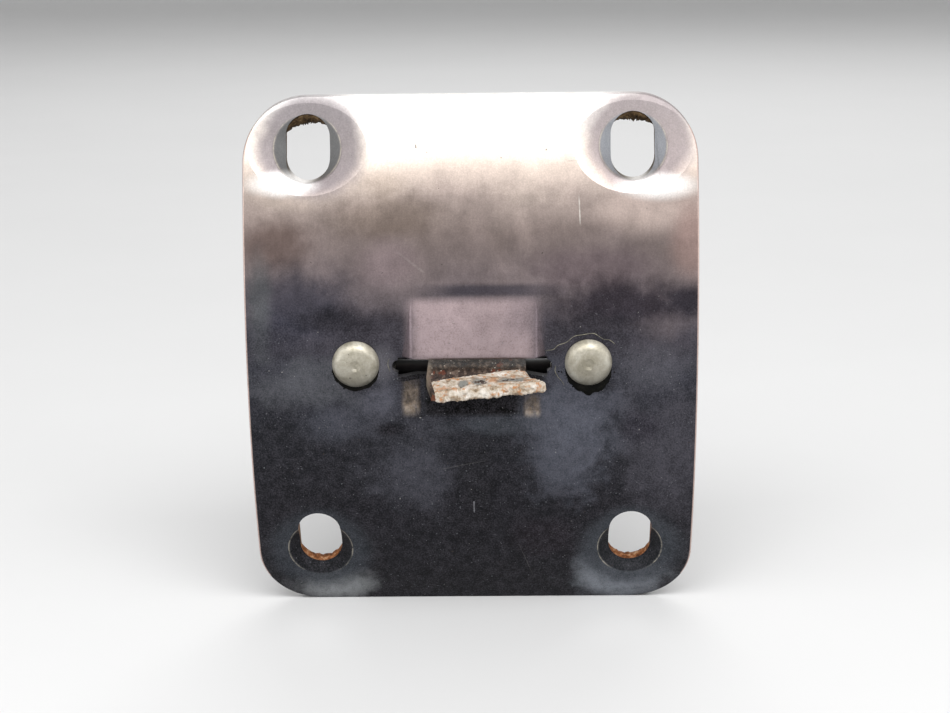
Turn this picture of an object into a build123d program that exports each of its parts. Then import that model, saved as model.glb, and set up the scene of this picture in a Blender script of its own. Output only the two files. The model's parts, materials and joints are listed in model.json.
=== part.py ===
from build123d import *
import math
import os

# Lift detector for the leading edge of a wing. The air lifts a small vane that stands
# out of a slot in a curved face plate, and the vane's tail works a snap switch in a
# channel behind the plate. X runs across the plate, Y into the wing and Z up. The
# origin lies on the back surface of the plate, at the foremost line of its curve.

# Face plate
plate_width = 76.2
plate_top = 44.05
plate_bottom = -46.55
plate_corner = 10.5
plate_sheet = 1.6
nose_radius = 100.0
plate_edge_round = 0.35

# Slotted and countersunk screw places
screw_x = 27.3
screw_row_z = 35.65
screw_slot_width = 7.4
screw_slot_length = 11.0
lower_slot_rise = 2.3
sink_radius = 5.75
sink_half_angle = 50.0
dish_radius = 10.0
dish_back_radius = 9.0
dish_depth = 0.65
sink_edge_round = 0.9

# Vane slot with a raised lip above it and a sunk ramp below it
slot_width = 27.0
slot_top_z = 0.75
slot_bottom_z = -1.43
mouth_x = 0.1
mouth_half_width = 12.6
lip_x = 0.3
lip_half_width = 10.4
lip_side_slope = 1.0
lip_near_z = 1.2
lip_far_z = 11.5
lip_lift = 1.8
ramp_x = -0.1
ramp_half_width = 8.9
ramp_side_slope = 1.45
ramp_near_z = -2.2
ramp_far_z = -9.45
ramp_sink = 1.95
form_edge_round = 1.2
form_depth = 6.0
form_spare = 2.0
lip_edge_round = 0.3

# Round-head rivets that hold the channel to the plate
rivet_x = 19.6
rivet_z = 0.15
rivet_radius = 1.985
rivet_head_radius = 3.96
rivet_head_height = 1.7
rivet_rim_height = 0.35
rivet_flat_radius = 1.9
rivet_dimple_radius = 1.0
rivet_dimple_depth = 0.25
rivet_tail_radius = 2.95
rivet_tail_height = 1.9
rivet_clearance = 0.05

# Channel behind the plate
channel_half = 13.6
channel_sheet = 1.5
channel_bend = 1.0
channel_back_gap = 1.2
flange_reach = 25.0
flange_top = 5.0
flange_bottom = -13.0
flange_corner = 3.0
flange_seal = 0.05
wall_top_overhang = 2.0
wall_top_slope = 7.5
wall_back_top_z = -3.0
wall_below_case = 2.0
wall_bottom_front_y = 14.0
wall_bottom_back_y = 32.0
wall_corner = 3.0
window_length = 12.0
window_height = 9.0
window_rise = 1.5
window_corner = 2.0

# Vane, cut and bent from one strip and carried on a pin
pivot_y = 10.0
pivot_z = -4.2
pin_radius = 1.2
pin_head_radius = 2.2
pin_head_height = 1.0
pin_end_past_wall = 1.3
pin_chamfer = 0.2
running_clearance = 0.05
vane_droop = 0.5
vane_travel = 4.5
vane_sheet = 1.5
vane_rise = 3.6
neck_left = -7.4
neck_right = 9.05
neck_front_y = -9.8
paddle_left = -6.4
paddle_right = 12.0
paddle_tip_y = -17.6
paddle_tip_twist = 5.5
paddle_tip_lift = 0.45
paddle_tip_sheet = 1.3
paddle_corner = 0.9
neck_back_overhang = 0.6
ear_radius = 3.0
tail_half_width = 3.5
tail_knee_gap = 1.9
tail_bend_radius = 2.0
tail_bead_radius = 0.8
tail_bead_inset = 6.0
tail_bead_rise = 3.06

# Clip on the pin
groove_radius = 0.85
clip_sheet = 0.4
clip_radius = 2.4
clip_gap = 1.5
clip_side_gap = 0.08
groove_side_gap = 0.03

# Bushes that centre the vane
bush_radius = 1.9
bush_end_gap = 0.1

# Return spring
spring_wire = 0.55
spring_coil_radius = 2.45
spring_turns = 4
spring_pitch = 0.62
spring_leave_angle = 50.0
spring_tail_leg = 6.0
spring_plate_leg = 10.6
full_turn = 360.0

# Stop screw and its nut on the lug above the tail
small_screw_radius = 1.42
small_screw_clearance = 0.08
lug_end_x = 4.0
lug_width = 7.0
lug_corner = 2.0
stop_screw_y = 17.0
stop_screw_length = 9.2
stop_gap = 0.05
driver_slot_width = 0.7
driver_slot_depth = 0.8
nut_across_flats = 6.35
nut_height = 2.3
nut_chamfer_radius = 3.75
nut_chamfer_taper = 12.0

# Snap switch
case_front_y = 15.0
case_top_z = -8.1
case_length = 27.8
case_height = 15.9
case_half_thickness = 5.15
case_wall = 1.2
case_floor = 1.6
case_corner = 0.8
case_end_block = 4.9
bolt_inset = 2.8
bolt_hole_clearance = 0.13
case_rivet_inset = 3.0
case_rivet_radius = 1.1
case_rivet_head_radius = 1.9
case_rivet_head_height = 0.5

# Switch lever and plunger
lever_hinge_rise = 1.3
lever_sheet = 0.5
lever_half_width = 2.4
lever_front_overhang = 1.4
lever_curl_radius = 1.1
lever_pin_radius = 0.6
lever_side_gap = 0.1
lug_ring_radius = 1.75
plunger_reach = 9.0
plunger_radius = 1.4
plunger_round = 0.9
plunger_collar_radius = 2.2
plunger_collar_height = 0.8
plunger_collar_drop = 0.7
contact_gap = 0.05
plunger_gap = 0.08

# Blade, contacts and terminals inside the switch
blade_sheet = 0.3
blade_half_width = 2.2
blade_drop = 5.9
blade_knuckle_radius = 0.4
blade_knuckle_inset = 1.1
blade_contact_inset = 3.1
blade_front_overhang = 1.7
blade_window_half = 1.0
blade_window_front_gap = 2.4
blade_window_back_gap = 1.8
tongue_sheet = 0.2
tongue_half_width = 0.7
tongue_sag = 1.1
tongue_end_gap = 1.0
tongue_end_drop = 0.85
contact_radius = 1.4
contact_height = 0.6
contact_margin = 0.15
terminal_sheet = 0.8
terminal_half_width = 2.4
terminal_length = 7.0
terminal_corner = 1.0
terminal_eye_radius = 1.0
terminal_eye_rise = 2.4
terminal_slot_clearance = 0.06
terminal_wall_gap = 0.1
contact_tab_overhang = 1.6

# Screws, washers, nuts and spacers that hold the switch
bolt_head_radius = 2.7
bolt_head_height = 1.9
bolt_head_round = 0.8
bolt_end_past_nut = 0.8
washer_sheet = 0.7
washer_radius = 2.65
washer_split = 0.6
spacer_radius = 2.75
spacer_end_gap = 0.02

# Places and sizes that follow from the ones above
nose_centre_y = nose_radius - plate_sheet
inner_radius = nose_radius - plate_sheet
wall_outer = channel_half + channel_sheet
case_back_y = case_front_y + case_length
case_bottom_z = case_top_z - case_height
case_middle_y = (case_front_y + case_back_y) / 2
case_middle_z = (case_top_z + case_bottom_z) / 2
cavity_front_y = case_front_y + case_end_block
cavity_back_y = case_back_y - case_end_block
channel_depth = case_back_y + channel_back_gap
lug_front_y = stop_screw_y - lug_width / 2
lug_back_y = stop_screw_y + lug_width / 2
lever_hinge_y = case_back_y - bolt_inset
lever_hinge_z = case_top_z + lever_hinge_rise
plunger_y = lever_hinge_y - plunger_reach
tail_bead_y = case_front_y + tail_bead_inset
tail_bead_z = case_top_z + tail_bead_rise
bolt_hole_radius = small_screw_radius + bolt_hole_clearance
droop = math.radians(vane_droop)
bolt_places = {
    "front": (case_front_y + bolt_inset, case_top_z - bolt_inset),
    "rear": (case_back_y - bolt_inset, case_bottom_z + bolt_inset),
}
case_rivet_places = {
    "front": (case_front_y + bolt_inset, case_bottom_z + case_rivet_inset),
    "rear": (case_back_y - bolt_inset, case_top_z - case_rivet_inset),
}

# The vane's own level planes: one seen from above and one seen from its side
vane_top = Plane(
    origin=(0, pivot_y, pivot_z),
    x_dir=(1, 0, 0),
    z_dir=(0, -math.sin(droop), math.cos(droop)),
)
vane_side = Plane(
    origin=(0, pivot_y, pivot_z),
    x_dir=(0, math.cos(droop), math.sin(droop)),
    z_dir=(1, 0, 0),
)

os.makedirs("parts", exist_ok=True)


def finish(builder, name):
    builder.part.label = name
    export_step(builder.part, f"parts/{name}.step")


# A bar as wide as a pressed form: its crest is a strip of one width from a near line to
# a far line, or a little deeper, and its sides spread at one slope away from the crest
def pressed_bar(centre_x, crest_half, side_slope, near, far, deeper):
    near_point = Vector(centre_x, *near)
    length = (Vector(centre_x, *far) - near_point).length
    along = (Vector(centre_x, *far) - near_point) / length
    half = crest_half - deeper * (math.sqrt(1 + side_slope**2) - side_slope)
    root_half = half + (form_depth - deeper) * side_slope
    with BuildPart() as bar:
        with BuildSketch(Plane(near_point - along * form_spare, x_dir=(1, 0, 0), z_dir=along)):
            with BuildLine():
                FilletPolyline(
                    (-half, deeper),
                    (half, deeper),
                    (root_half, form_depth),
                    (-root_half, form_depth),
                    radius=(form_edge_round, form_edge_round, 0, 0),
                    close=True,
                )
            make_face()
        extrude(amount=length + 2 * form_spare)
    return bar.part


# The plane at a screw place: across the plate and straight into it
def screw_plane(x, z):
    turn = math.asin(z / nose_radius)
    return Plane(
        origin=(x, nose_centre_y - nose_radius * math.cos(turn), z),
        x_dir=(1, 0, 0),
        z_dir=(0, math.sin(turn), math.cos(turn)),
    )


def surface_y(z):
    return nose_centre_y - math.sqrt(nose_radius**2 - z**2)


# Face plate
sink_angle = math.radians(sink_half_angle)
sink_depth = dish_depth + (sink_radius - screw_slot_width / 2) / math.tan(sink_angle)
boss_shoulder = sink_radius + plate_sheet * math.tan((math.pi / 2 - sink_angle) / 2)
boss_foot_radius = screw_slot_width / 2 + plate_sheet * math.cos(sink_angle)
boss_depth = sink_depth + plate_sheet * math.sin(sink_angle)
lip_form = (
    lip_x,
    lip_half_width,
    lip_side_slope,
    (-plate_sheet - lip_lift, lip_near_z),
    (surface_y(lip_far_z), lip_far_z),
)
ramp_form = (
    ramp_x,
    ramp_half_width,
    ramp_side_slope,
    (ramp_sink - plate_sheet, ramp_near_z),
    (surface_y(ramp_far_z), ramp_far_z),
)
in_sheet = Plane.XZ.offset(plate_sheet / 4)
lip_bulge = split(pressed_bar(*lip_form, 0), bisect_by=in_sheet, keep=Keep.TOP)
ramp_bulge = split(pressed_bar(*ramp_form, -plate_sheet), bisect_by=in_sheet, keep=Keep.BOTTOM)
plate_height = plate_top - plate_bottom
plate_middle_z = (plate_top + plate_bottom) / 2
slot_middle_z = (slot_top_z + slot_bottom_z) / 2

with BuildPart() as face_plate:
    with BuildSketch(Plane.YZ):
        with Locations((nose_centre_y, 0)):
            Circle(nose_radius)
            Circle(inner_radius, mode=Mode.SUBTRACT)
        with Locations((0, plate_middle_z)):
            Rectangle(nose_radius, plate_height + 2 * form_spare, mode=Mode.INTERSECT)
    extrude(amount=plate_width / 2 + form_spare, both=True)
    with BuildSketch(Plane.XZ):
        with Locations((0, plate_middle_z)):
            RectangleRounded(plate_width, plate_height, plate_corner)
    extrude(amount=nose_radius, both=True, mode=Mode.INTERSECT)
    fillet(
        face_plate.faces().filter_by(GeomType.CYLINDER).sort_by(Axis.Y)[0].outer_wire().edges(),
        radius=plate_edge_round,
    )
    for side in (-1, 1):
        for row in (-1, 1):
            place = screw_plane(side * screw_x, row * screw_row_z)
            into_plate = Axis(place.origin, place.y_dir)
            with BuildSketch(place):
                with BuildLine():
                    FilletPolyline(
                        (0, plate_sheet / 2),
                        (dish_back_radius, plate_sheet / 2),
                        (dish_back_radius, plate_sheet),
                        (boss_shoulder, plate_sheet + dish_depth),
                        (boss_foot_radius, boss_depth),
                        (0, boss_depth),
                        radius=(0, 0, 0, sink_edge_round + plate_sheet, 0, 0),
                        close=True,
                    )
                make_face()
            revolve(axis=into_plate)
            with BuildSketch(place):
                with BuildLine():
                    FilletPolyline(
                        (0, -plate_sheet),
                        (dish_radius, -plate_sheet),
                        (dish_radius, 0),
                        (sink_radius, dish_depth),
                        (screw_slot_width / 2, sink_depth),
                        (0, sink_depth),
                        radius=(0, 0, 0, sink_edge_round, 0, 0),
                        close=True,
                    )
                make_face()
            revolve(axis=into_plate, mode=Mode.SUBTRACT)
    add(lip_bulge)
    add(ramp_bulge)
    add(pressed_bar(*lip_form, plate_sheet), mode=Mode.SUBTRACT)
    add(pressed_bar(*ramp_form, 0), mode=Mode.SUBTRACT)
    with BuildSketch(Plane.XZ):
        for side in (-1, 1):
            with Locations(
                (side * screw_x, screw_row_z),
                (side * screw_x, lower_slot_rise - screw_row_z),
            ):
                SlotOverall(screw_slot_length, screw_slot_width, rotation=90)
            with Locations((side * rivet_x, rivet_z)):
                Circle(rivet_radius + rivet_clearance)
        with Locations((0, slot_middle_z)):
            SlotOverall(slot_width, slot_top_z - slot_bottom_z)
        with Locations((mouth_x, (lip_near_z + ramp_near_z) / 2)):
            Rectangle(2 * mouth_half_width, lip_near_z - ramp_near_z)
    extrude(amount=nose_radius / 2, both=True, mode=Mode.SUBTRACT)
    fillet(face_plate.edges().filter_by(Axis.X).sort_by(Axis.Y)[0], radius=lip_edge_round)
finish(face_plate, "face_plate")


# Rivets with a dimpled round head, a shank and a tail closed behind the flange
flange_front_radius = inner_radius - flange_seal
flange_back_radius = flange_front_radius - channel_sheet
tail_rim_z = rivet_z + rivet_tail_radius
tail_face_y = nose_centre_y - math.sqrt(flange_back_radius**2 - tail_rim_z**2)
head_front_y = -plate_sheet - rivet_head_height
rivet_end_y = tail_face_y + rivet_tail_height
head_rim_y = -plate_sheet - rivet_rim_height
for side, place_x in (("left", -rivet_x), ("right", rivet_x)):
    rivet_seat = Plane(origin=(place_x, 0, rivet_z))
    with BuildPart() as plate_rivet:
        with BuildSketch(rivet_seat):
            with BuildLine():
                TangentArc(
                    (rivet_flat_radius, head_front_y),
                    (rivet_head_radius, head_rim_y),
                    tangent=(1, 0),
                )
                Polyline(
                    (rivet_head_radius, head_rim_y),
                    (rivet_head_radius, -plate_sheet),
                    (rivet_radius, -plate_sheet),
                    (rivet_radius, tail_face_y),
                    (rivet_tail_radius, tail_face_y),
                    (rivet_tail_radius, rivet_end_y),
                    (0, rivet_end_y),
                    (0, head_front_y + rivet_dimple_depth),
                    (rivet_dimple_radius / 2, head_front_y + rivet_dimple_depth),
                    (rivet_dimple_radius, head_front_y),
                    (rivet_flat_radius, head_front_y),
                )
            make_face()
        revolve(axis=Axis(rivet_seat.origin, rivet_seat.y_dir))
    finish(plate_rivet, f"plate_rivet_{side}")

# Channel: two walls and a back bent from one sheet, curved flanges and a stop lug
wall_back_bottom_z = case_bottom_z - wall_below_case
wall_top_drop_y = lug_back_y + wall_top_overhang
wall_top_back_y = wall_top_drop_y + wall_top_slope
flange_height = flange_top - flange_bottom
flange_middle_z = (flange_top + flange_bottom) / 2
channel_back_y = channel_depth + channel_sheet
screw_hole_radius = small_screw_radius + small_screw_clearance
with BuildPart() as mounting_frame:
    with BuildSketch(Plane.XY.offset(wall_back_bottom_z)):
        RectangleRounded(2 * wall_outer, 2 * channel_back_y, channel_bend + channel_sheet)
        RectangleRounded(2 * channel_half, 2 * channel_depth, channel_bend, mode=Mode.SUBTRACT)
    extrude(amount=flange_top - wall_back_bottom_z)
    with BuildSketch(Plane.YZ):
        with BuildLine():
            FilletPolyline(
                (-channel_sheet, flange_bottom),
                (-channel_sheet, flange_top),
                (wall_top_drop_y, flange_top),
                (wall_top_back_y, wall_back_top_z),
                (channel_back_y, wall_back_top_z),
                (channel_back_y, wall_back_bottom_z),
                (wall_bottom_back_y, wall_back_bottom_z),
                (wall_bottom_front_y, flange_bottom),
                radius=(0, 0, wall_corner, wall_corner, 0, 0, wall_corner, wall_corner),
                close=True,
            )
        make_face()
        with Locations((case_middle_y, case_middle_z + window_rise)):
            RectangleRounded(window_length, window_height, window_corner, mode=Mode.SUBTRACT)
    extrude(amount=wall_outer, both=True, mode=Mode.INTERSECT)
    with BuildSketch(Plane.YZ):
        with Locations((nose_centre_y, 0)):
            Circle(flange_front_radius)
    extrude(amount=wall_outer, both=True, mode=Mode.INTERSECT)
    for side in (-1, 1):
        with BuildSketch(Plane.YZ.offset(side * channel_half)):
            with Locations((nose_centre_y, 0)):
                Circle(flange_front_radius)
                Circle(flange_back_radius, mode=Mode.SUBTRACT)
            with Locations((0, flange_middle_z)):
                Rectangle(nose_radius, flange_height, mode=Mode.INTERSECT)
        extrude(amount=side * (flange_reach - channel_half))
        for corner_x, bend_radius in (
            (channel_half, channel_bend + channel_sheet),
            (wall_outer, channel_bend),
        ):
            fillet(
                mounting_frame.edges()
                .filter_by(lambda edge: edge.length < flange_height + flange_corner)
                .filter_by(GeomType.CIRCLE)
                .filter_by_position(
                    Axis.X, side * corner_x - flange_seal, side * corner_x + flange_seal
                )
                .filter_by_position(Axis.Y, -channel_sheet, 2 * channel_sheet),
                radius=bend_radius,
            )
    flange_ends = mounting_frame.edges().filter_by(Axis.Y, tolerance=flange_corner * 2)
    fillet(
        flange_ends.group_by(Axis.X)[0] + flange_ends.group_by(Axis.X)[-1],
        radius=flange_corner,
    )
    with BuildSketch(Plane.XY.offset(flange_top - channel_sheet)):
        with Locations((-channel_half - channel_sheet / 2, (lug_front_y + lug_back_y) / 2)):
            Rectangle(
                lug_end_x + channel_half + channel_sheet / 2,
                lug_back_y - lug_front_y,
                align=(Align.MIN, Align.CENTER),
            )
    extrude(amount=channel_sheet)
    fillet(
        mounting_frame.edges().filter_by(Axis.Z).filter_by_position(
            Axis.X, lug_end_x - lug_corner, lug_end_x + lug_corner
        ),
        radius=lug_corner,
    )
    with BuildSketch(Plane.XY.offset(flange_top)):
        with Locations((0, stop_screw_y)):
            Circle(screw_hole_radius)
    extrude(amount=-channel_sheet, mode=Mode.SUBTRACT)
    with BuildSketch(Plane.YZ):
        with Locations((pivot_y, pivot_z)):
            Circle(pin_radius + running_clearance)
        with Locations(*bolt_places.values()):
            Circle(bolt_hole_radius)
    extrude(amount=wall_outer, both=True, mode=Mode.SUBTRACT)
    with BuildSketch(Plane.XZ):
        with Locations((-rivet_x, rivet_z), (rivet_x, rivet_z)):
            Circle(rivet_radius + rivet_clearance)
    extrude(amount=-channel_depth / 2, mode=Mode.SUBTRACT)
finish(mounting_frame, "mounting_frame")

# Vane: a flat neck, a flared and twisted paddle, two ears on the pin and a tail with a bead
neck_centre = (neck_left + neck_right) / 2
neck_half = (neck_right - neck_left) / 2
neck_back = ear_radius + neck_back_overhang
paddle_centre = (paddle_left + paddle_right) / 2
neck_front = neck_front_y - pivot_y
paddle_tip = paddle_tip_y - pivot_y
tail_knee = stop_screw_y + tail_knee_gap - pivot_y
tail_bead = (tail_bead_y - pivot_y, tail_bead_z - pivot_z)


# The plane across the vane at a place along it, lifted and turned about its length
def vane_across(centre_x, along, lift, twist):
    turn = math.radians(twist)
    middle = vane_top.from_local_coords(Vector(centre_x, along, vane_rise + lift))
    across = Vector(math.cos(turn), 0, math.sin(turn))
    return Plane(origin=middle, x_dir=across, z_dir=-vane_top.y_dir)


with BuildPart() as vane:
    with BuildSketch(vane_top.offset(vane_rise - vane_sheet / 2)):
        with Locations((neck_centre, neck_front)):
            Rectangle(2 * neck_half, neck_back - neck_front, align=(Align.CENTER, Align.MIN))
    extrude(amount=vane_sheet)
    with BuildSketch(vane_across(neck_centre, neck_front, 0, 0)):
        Rectangle(2 * neck_half, vane_sheet)
    with BuildSketch(vane_across(paddle_centre, paddle_tip, paddle_tip_lift, paddle_tip_twist)):
        Rectangle(paddle_right - paddle_left, paddle_tip_sheet)
    loft()
    paddle_corners = vane.edges().filter_by(
        lambda edge: edge.length < vane_sheet and edge.center().Y < paddle_tip_y + paddle_corner
    )
    fillet(paddle_corners, radius=paddle_corner)
    for side in (-1, 1):
        with BuildSketch(vane_side.offset(neck_centre + side * neck_half)):
            Circle(ear_radius)
            Rectangle(2 * ear_radius, vane_rise, align=(Align.CENTER, Align.MIN))
        extrude(amount=-side * vane_sheet)
    with BuildSketch(vane_side):
        with BuildLine() as tail_line:
            FilletPolyline(
                (ear_radius, vane_rise),
                (tail_knee, vane_rise),
                tail_bead,
                radius=tail_bend_radius,
            )
        trace(line_width=vane_sheet)
        with Locations(tail_bead):
            Circle(tail_bead_radius)
    extrude(amount=tail_half_width, both=True)
    with BuildSketch(vane_side):
        Circle(pin_radius + running_clearance)
    extrude(amount=plate_width, both=True, mode=Mode.SUBTRACT)
finish(vane, "vane")

# Pivot pin with a head at one end and a groove for the clip at the other
clip_near_x = wall_outer + clip_side_gap
clip_far_x = clip_near_x + clip_sheet
pin_end_x = clip_far_x + pin_end_past_wall
pin_line = Plane(origin=(0, pivot_y, pivot_z))
with BuildPart() as pivot_pin:
    with BuildSketch(pin_line):
        with BuildLine():
            Polyline(
                (-wall_outer - pin_head_height, 0),
                (-wall_outer - pin_head_height, pin_head_radius),
                (-wall_outer, pin_head_radius),
                (-wall_outer, pin_radius),
                (clip_near_x - groove_side_gap, pin_radius),
                (clip_near_x - groove_side_gap, groove_radius),
                (clip_far_x + groove_side_gap, groove_radius),
                (clip_far_x + groove_side_gap, pin_radius),
                (pin_end_x - pin_chamfer, pin_radius),
                (pin_end_x, pin_radius - pin_chamfer),
                (pin_end_x, 0),
                close=True,
            )
        make_face()
    revolve(axis=Axis(pin_line.origin, pin_line.x_dir))
finish(pivot_pin, "pivot_pin")

with BuildPart() as pivot_clip:
    with BuildSketch(Plane.YZ.offset(clip_near_x)):
        with Locations((pivot_y, pivot_z)):
            Circle(clip_radius)
            Circle(groove_radius + running_clearance, mode=Mode.SUBTRACT)
            Rectangle(
                clip_gap,
                2 * clip_radius,
                align=(Align.CENTER, Align.MAX),
                mode=Mode.SUBTRACT,
            )
    extrude(amount=clip_sheet)
finish(pivot_clip, "pivot_clip")

# Bushes that fill the pin between the vane's ears and the walls
bush_spans = {
    "left": (-channel_half + bush_end_gap, neck_left - bush_end_gap),
    "right": (neck_right + bush_end_gap, channel_half - bush_end_gap),
}
for side, (start_x, end_x) in bush_spans.items():
    with BuildPart() as pivot_bush:
        with BuildSketch(Plane.YZ.offset(start_x)):
            with Locations((pivot_y, pivot_z)):
                Circle(bush_radius)
                Circle(pin_radius + running_clearance, mode=Mode.SUBTRACT)
        extrude(amount=end_x - start_x)
    finish(pivot_bush, f"pivot_bush_{side}")

# Return spring: a coil round the pin, one leg under the tail and one on the plate.
# It is wound round its own Z axis first and then laid along the pin.
coil_length = spring_pitch * (spring_turns + spring_leave_angle / full_turn)
coil_place = Plane(
    origin=(neck_centre - coil_length / 2, pivot_y, pivot_z),
    x_dir=(0, 0, 1),
    z_dir=(1, 0, 0),
)
with BuildPart() as return_spring:
    with BuildLine() as spring_line:
        turns = Helix(spring_pitch, coil_length, spring_coil_radius)
        Line(turns @ 0 - (turns % 0) * spring_tail_leg, turns @ 0)
        Line(turns @ 1, turns @ 1 + (turns % 1) * spring_plate_leg)
    spring_path = spring_line.wires()[0]
    with BuildSketch(Plane(origin=turns @ 0 - (turns % 0) * spring_tail_leg, z_dir=turns % 0)):
        Circle(spring_wire / 2)
    sweep(path=spring_path)
return_spring.part.location = coil_place.location
finish(return_spring, "return_spring")

# Stop screw over the tail, with its lock nut on the lug
vane_back_z = pivot_z + (vane_rise + vane_sheet / 2) * math.cos(droop)
stop_tip_z = vane_back_z + (stop_screw_y - pivot_y) * math.sin(droop) + stop_gap
stop_screw_top_z = stop_tip_z + stop_screw_length
with BuildPart() as stop_screw:
    with BuildSketch(Plane.XY.offset(stop_tip_z)):
        with Locations((0, stop_screw_y)):
            Circle(small_screw_radius)
    extrude(amount=stop_screw_length)
    chamfer(stop_screw.edges().filter_by(GeomType.CIRCLE).sort_by(Axis.Z)[0], length=pin_chamfer)
    with BuildSketch(Plane.XY.offset(stop_screw_top_z)):
        with Locations((0, stop_screw_y)):
            Rectangle(2 * small_screw_radius, driver_slot_width)
    extrude(amount=-driver_slot_depth, mode=Mode.SUBTRACT)
finish(stop_screw, "stop_screw")


# A hexagon nut that sits on a plane, with its corners turned off
def make_nut(seat, name):
    with BuildPart() as nut:
        with BuildSketch(seat):
            RegularPolygon(nut_across_flats / 2, side_count=6, major_radius=False)
            Circle(screw_hole_radius, mode=Mode.SUBTRACT)
        extrude(amount=nut_height)
        with BuildSketch(seat):
            Circle(nut_chamfer_radius)
        extrude(amount=nut_height, taper=nut_chamfer_taper, mode=Mode.INTERSECT)
    finish(nut, name)


make_nut(Plane(origin=(0, stop_screw_y, flange_top)), "stop_nut")

# How the tail's bead turns the lever, the lever drops the plunger and that the blade
bead_world = vane_side.from_local_coords(Vector(*tail_bead, 0))
bead_reach = lever_hinge_y - bead_world.Y
bead_height = bead_world.Z - lever_hinge_z
bead_distance = tail_bead_radius + contact_gap + lever_sheet / 2
lever_tilt = math.atan2(bead_height, bead_reach) - math.asin(
    bead_distance / math.hypot(bead_reach, bead_height)
)
blade_z = case_top_z - blade_drop
blade_anchor_y = cavity_back_y - blade_knuckle_inset
blade_contact_y = cavity_front_y + blade_contact_inset
lever_travel = vane_travel * (bead_world.Y - pivot_y) / bead_reach
plunger_travel = plunger_reach * math.tan(math.radians(lever_travel))
blade_travel = (
    plunger_travel
    * (blade_anchor_y - blade_contact_y)
    / (blade_anchor_y - plunger_y)
)

# Switch case: a box with solid ends for the screws, open towards its cover
case_side_x = case_half_thickness
cover_inner_x = case_wall - case_half_thickness
cavity_far_x = case_half_thickness - case_wall
contact_reach = blade_sheet / 2 + contact_height
open_face_z = blade_z - contact_reach - blade_travel - contact_margin
open_tab_top_z = open_face_z - contact_height
closed_face_z = blade_z + contact_reach + contact_gap
closed_tab_bottom_z = closed_face_z + contact_height
common_top_z = blade_z - blade_knuckle_radius - contact_gap
closed_leg_y = cavity_front_y + terminal_wall_gap + terminal_sheet / 2
leg_places = {
    "common": (blade_anchor_y, common_top_z),
    "closed": (closed_leg_y, closed_tab_bottom_z + terminal_sheet),
    "open": ((closed_leg_y + blade_anchor_y) / 2, open_tab_top_z),
}
lug_inner_x = lever_half_width + lever_side_gap
with BuildPart() as switch_case:
    with BuildSketch(Plane.YZ.offset(cover_inner_x)):
        with Locations((case_middle_y, case_middle_z)):
            RectangleRounded(case_length, case_height, case_corner)
    extrude(amount=case_side_x - cover_inner_x)
    with BuildSketch(Plane.YZ.offset(cover_inner_x)):
        with Locations((lever_hinge_y, lever_hinge_z)):
            Circle(lug_ring_radius)
            Rectangle(
                2 * lug_ring_radius,
                lever_hinge_z - case_top_z + case_corner,
                align=(Align.CENTER, Align.MAX),
            )
    extrude(amount=cavity_far_x - cover_inner_x)
    with BuildSketch(Plane.YZ.offset(-lug_inner_x)):
        with Locations((lever_hinge_y, case_top_z)):
            Rectangle(
                case_length / 2,
                lever_hinge_rise + 2 * lug_ring_radius,
                align=(Align.CENTER, Align.MIN),
            )
    extrude(amount=2 * lug_inner_x, mode=Mode.SUBTRACT)
    with BuildSketch(Plane.YZ.offset(cover_inner_x)):
        with Locations(((cavity_front_y + cavity_back_y) / 2, case_bottom_z + case_floor)):
            Rectangle(
                cavity_back_y - cavity_front_y,
                case_height - 2 * case_floor,
                align=(Align.CENTER, Align.MIN),
            )
    extrude(amount=cavity_far_x - cover_inner_x, mode=Mode.SUBTRACT)
    with BuildSketch(Plane.XY.offset(case_top_z)):
        with Locations((0, plunger_y)):
            Circle(plunger_radius + running_clearance)
    extrude(amount=-2 * case_floor, mode=Mode.SUBTRACT)
    with BuildSketch(Plane.XY.offset(case_bottom_z)):
        for leg_y, leg_top_z in leg_places.values():
            with Locations((0, leg_y)):
                Rectangle(
                    2 * (terminal_half_width + terminal_slot_clearance),
                    terminal_sheet + 2 * terminal_slot_clearance,
                )
    extrude(amount=2 * case_floor, mode=Mode.SUBTRACT)
    with BuildSketch(Plane.YZ):
        with Locations(*bolt_places.values()):
            Circle(bolt_hole_radius)
        with Locations(*case_rivet_places.values()):
            Circle(case_rivet_radius + running_clearance)
        with Locations((lever_hinge_y, lever_hinge_z)):
            Circle(lever_pin_radius + running_clearance)
    extrude(amount=case_half_thickness, both=True, mode=Mode.SUBTRACT)
finish(switch_case, "switch_case")

with BuildPart() as switch_cover:
    with BuildSketch(Plane.YZ.offset(-case_half_thickness)):
        with Locations((case_middle_y, case_middle_z)):
            RectangleRounded(case_length, case_height, case_corner)
        with Locations(*bolt_places.values()):
            Circle(bolt_hole_radius, mode=Mode.SUBTRACT)
        with Locations(*case_rivet_places.values()):
            Circle(case_rivet_radius + running_clearance, mode=Mode.SUBTRACT)
    extrude(amount=case_wall)
finish(switch_cover, "switch_cover")

for end, (rivet_y, place_z) in case_rivet_places.items():
    with BuildPart() as case_rivet:
        with BuildSketch(Plane.YZ.offset(-case_half_thickness)):
            with Locations((rivet_y, place_z)):
                Circle(case_rivet_radius)
        extrude(amount=2 * case_half_thickness)
        for side in (-1, 1):
            with BuildSketch(Plane.YZ.offset(side * case_half_thickness)):
                with Locations((rivet_y, place_z)):
                    Circle(case_rivet_head_radius)
            extrude(amount=side * case_rivet_head_height)
        with BuildSketch(Plane.YZ):
            with Locations((rivet_y, place_z)):
                Circle(case_rivet_radius / 2)
        extrude(amount=2 * case_half_thickness, both=True, mode=Mode.SUBTRACT)
    finish(case_rivet, f"case_rivet_{end}")

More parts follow.
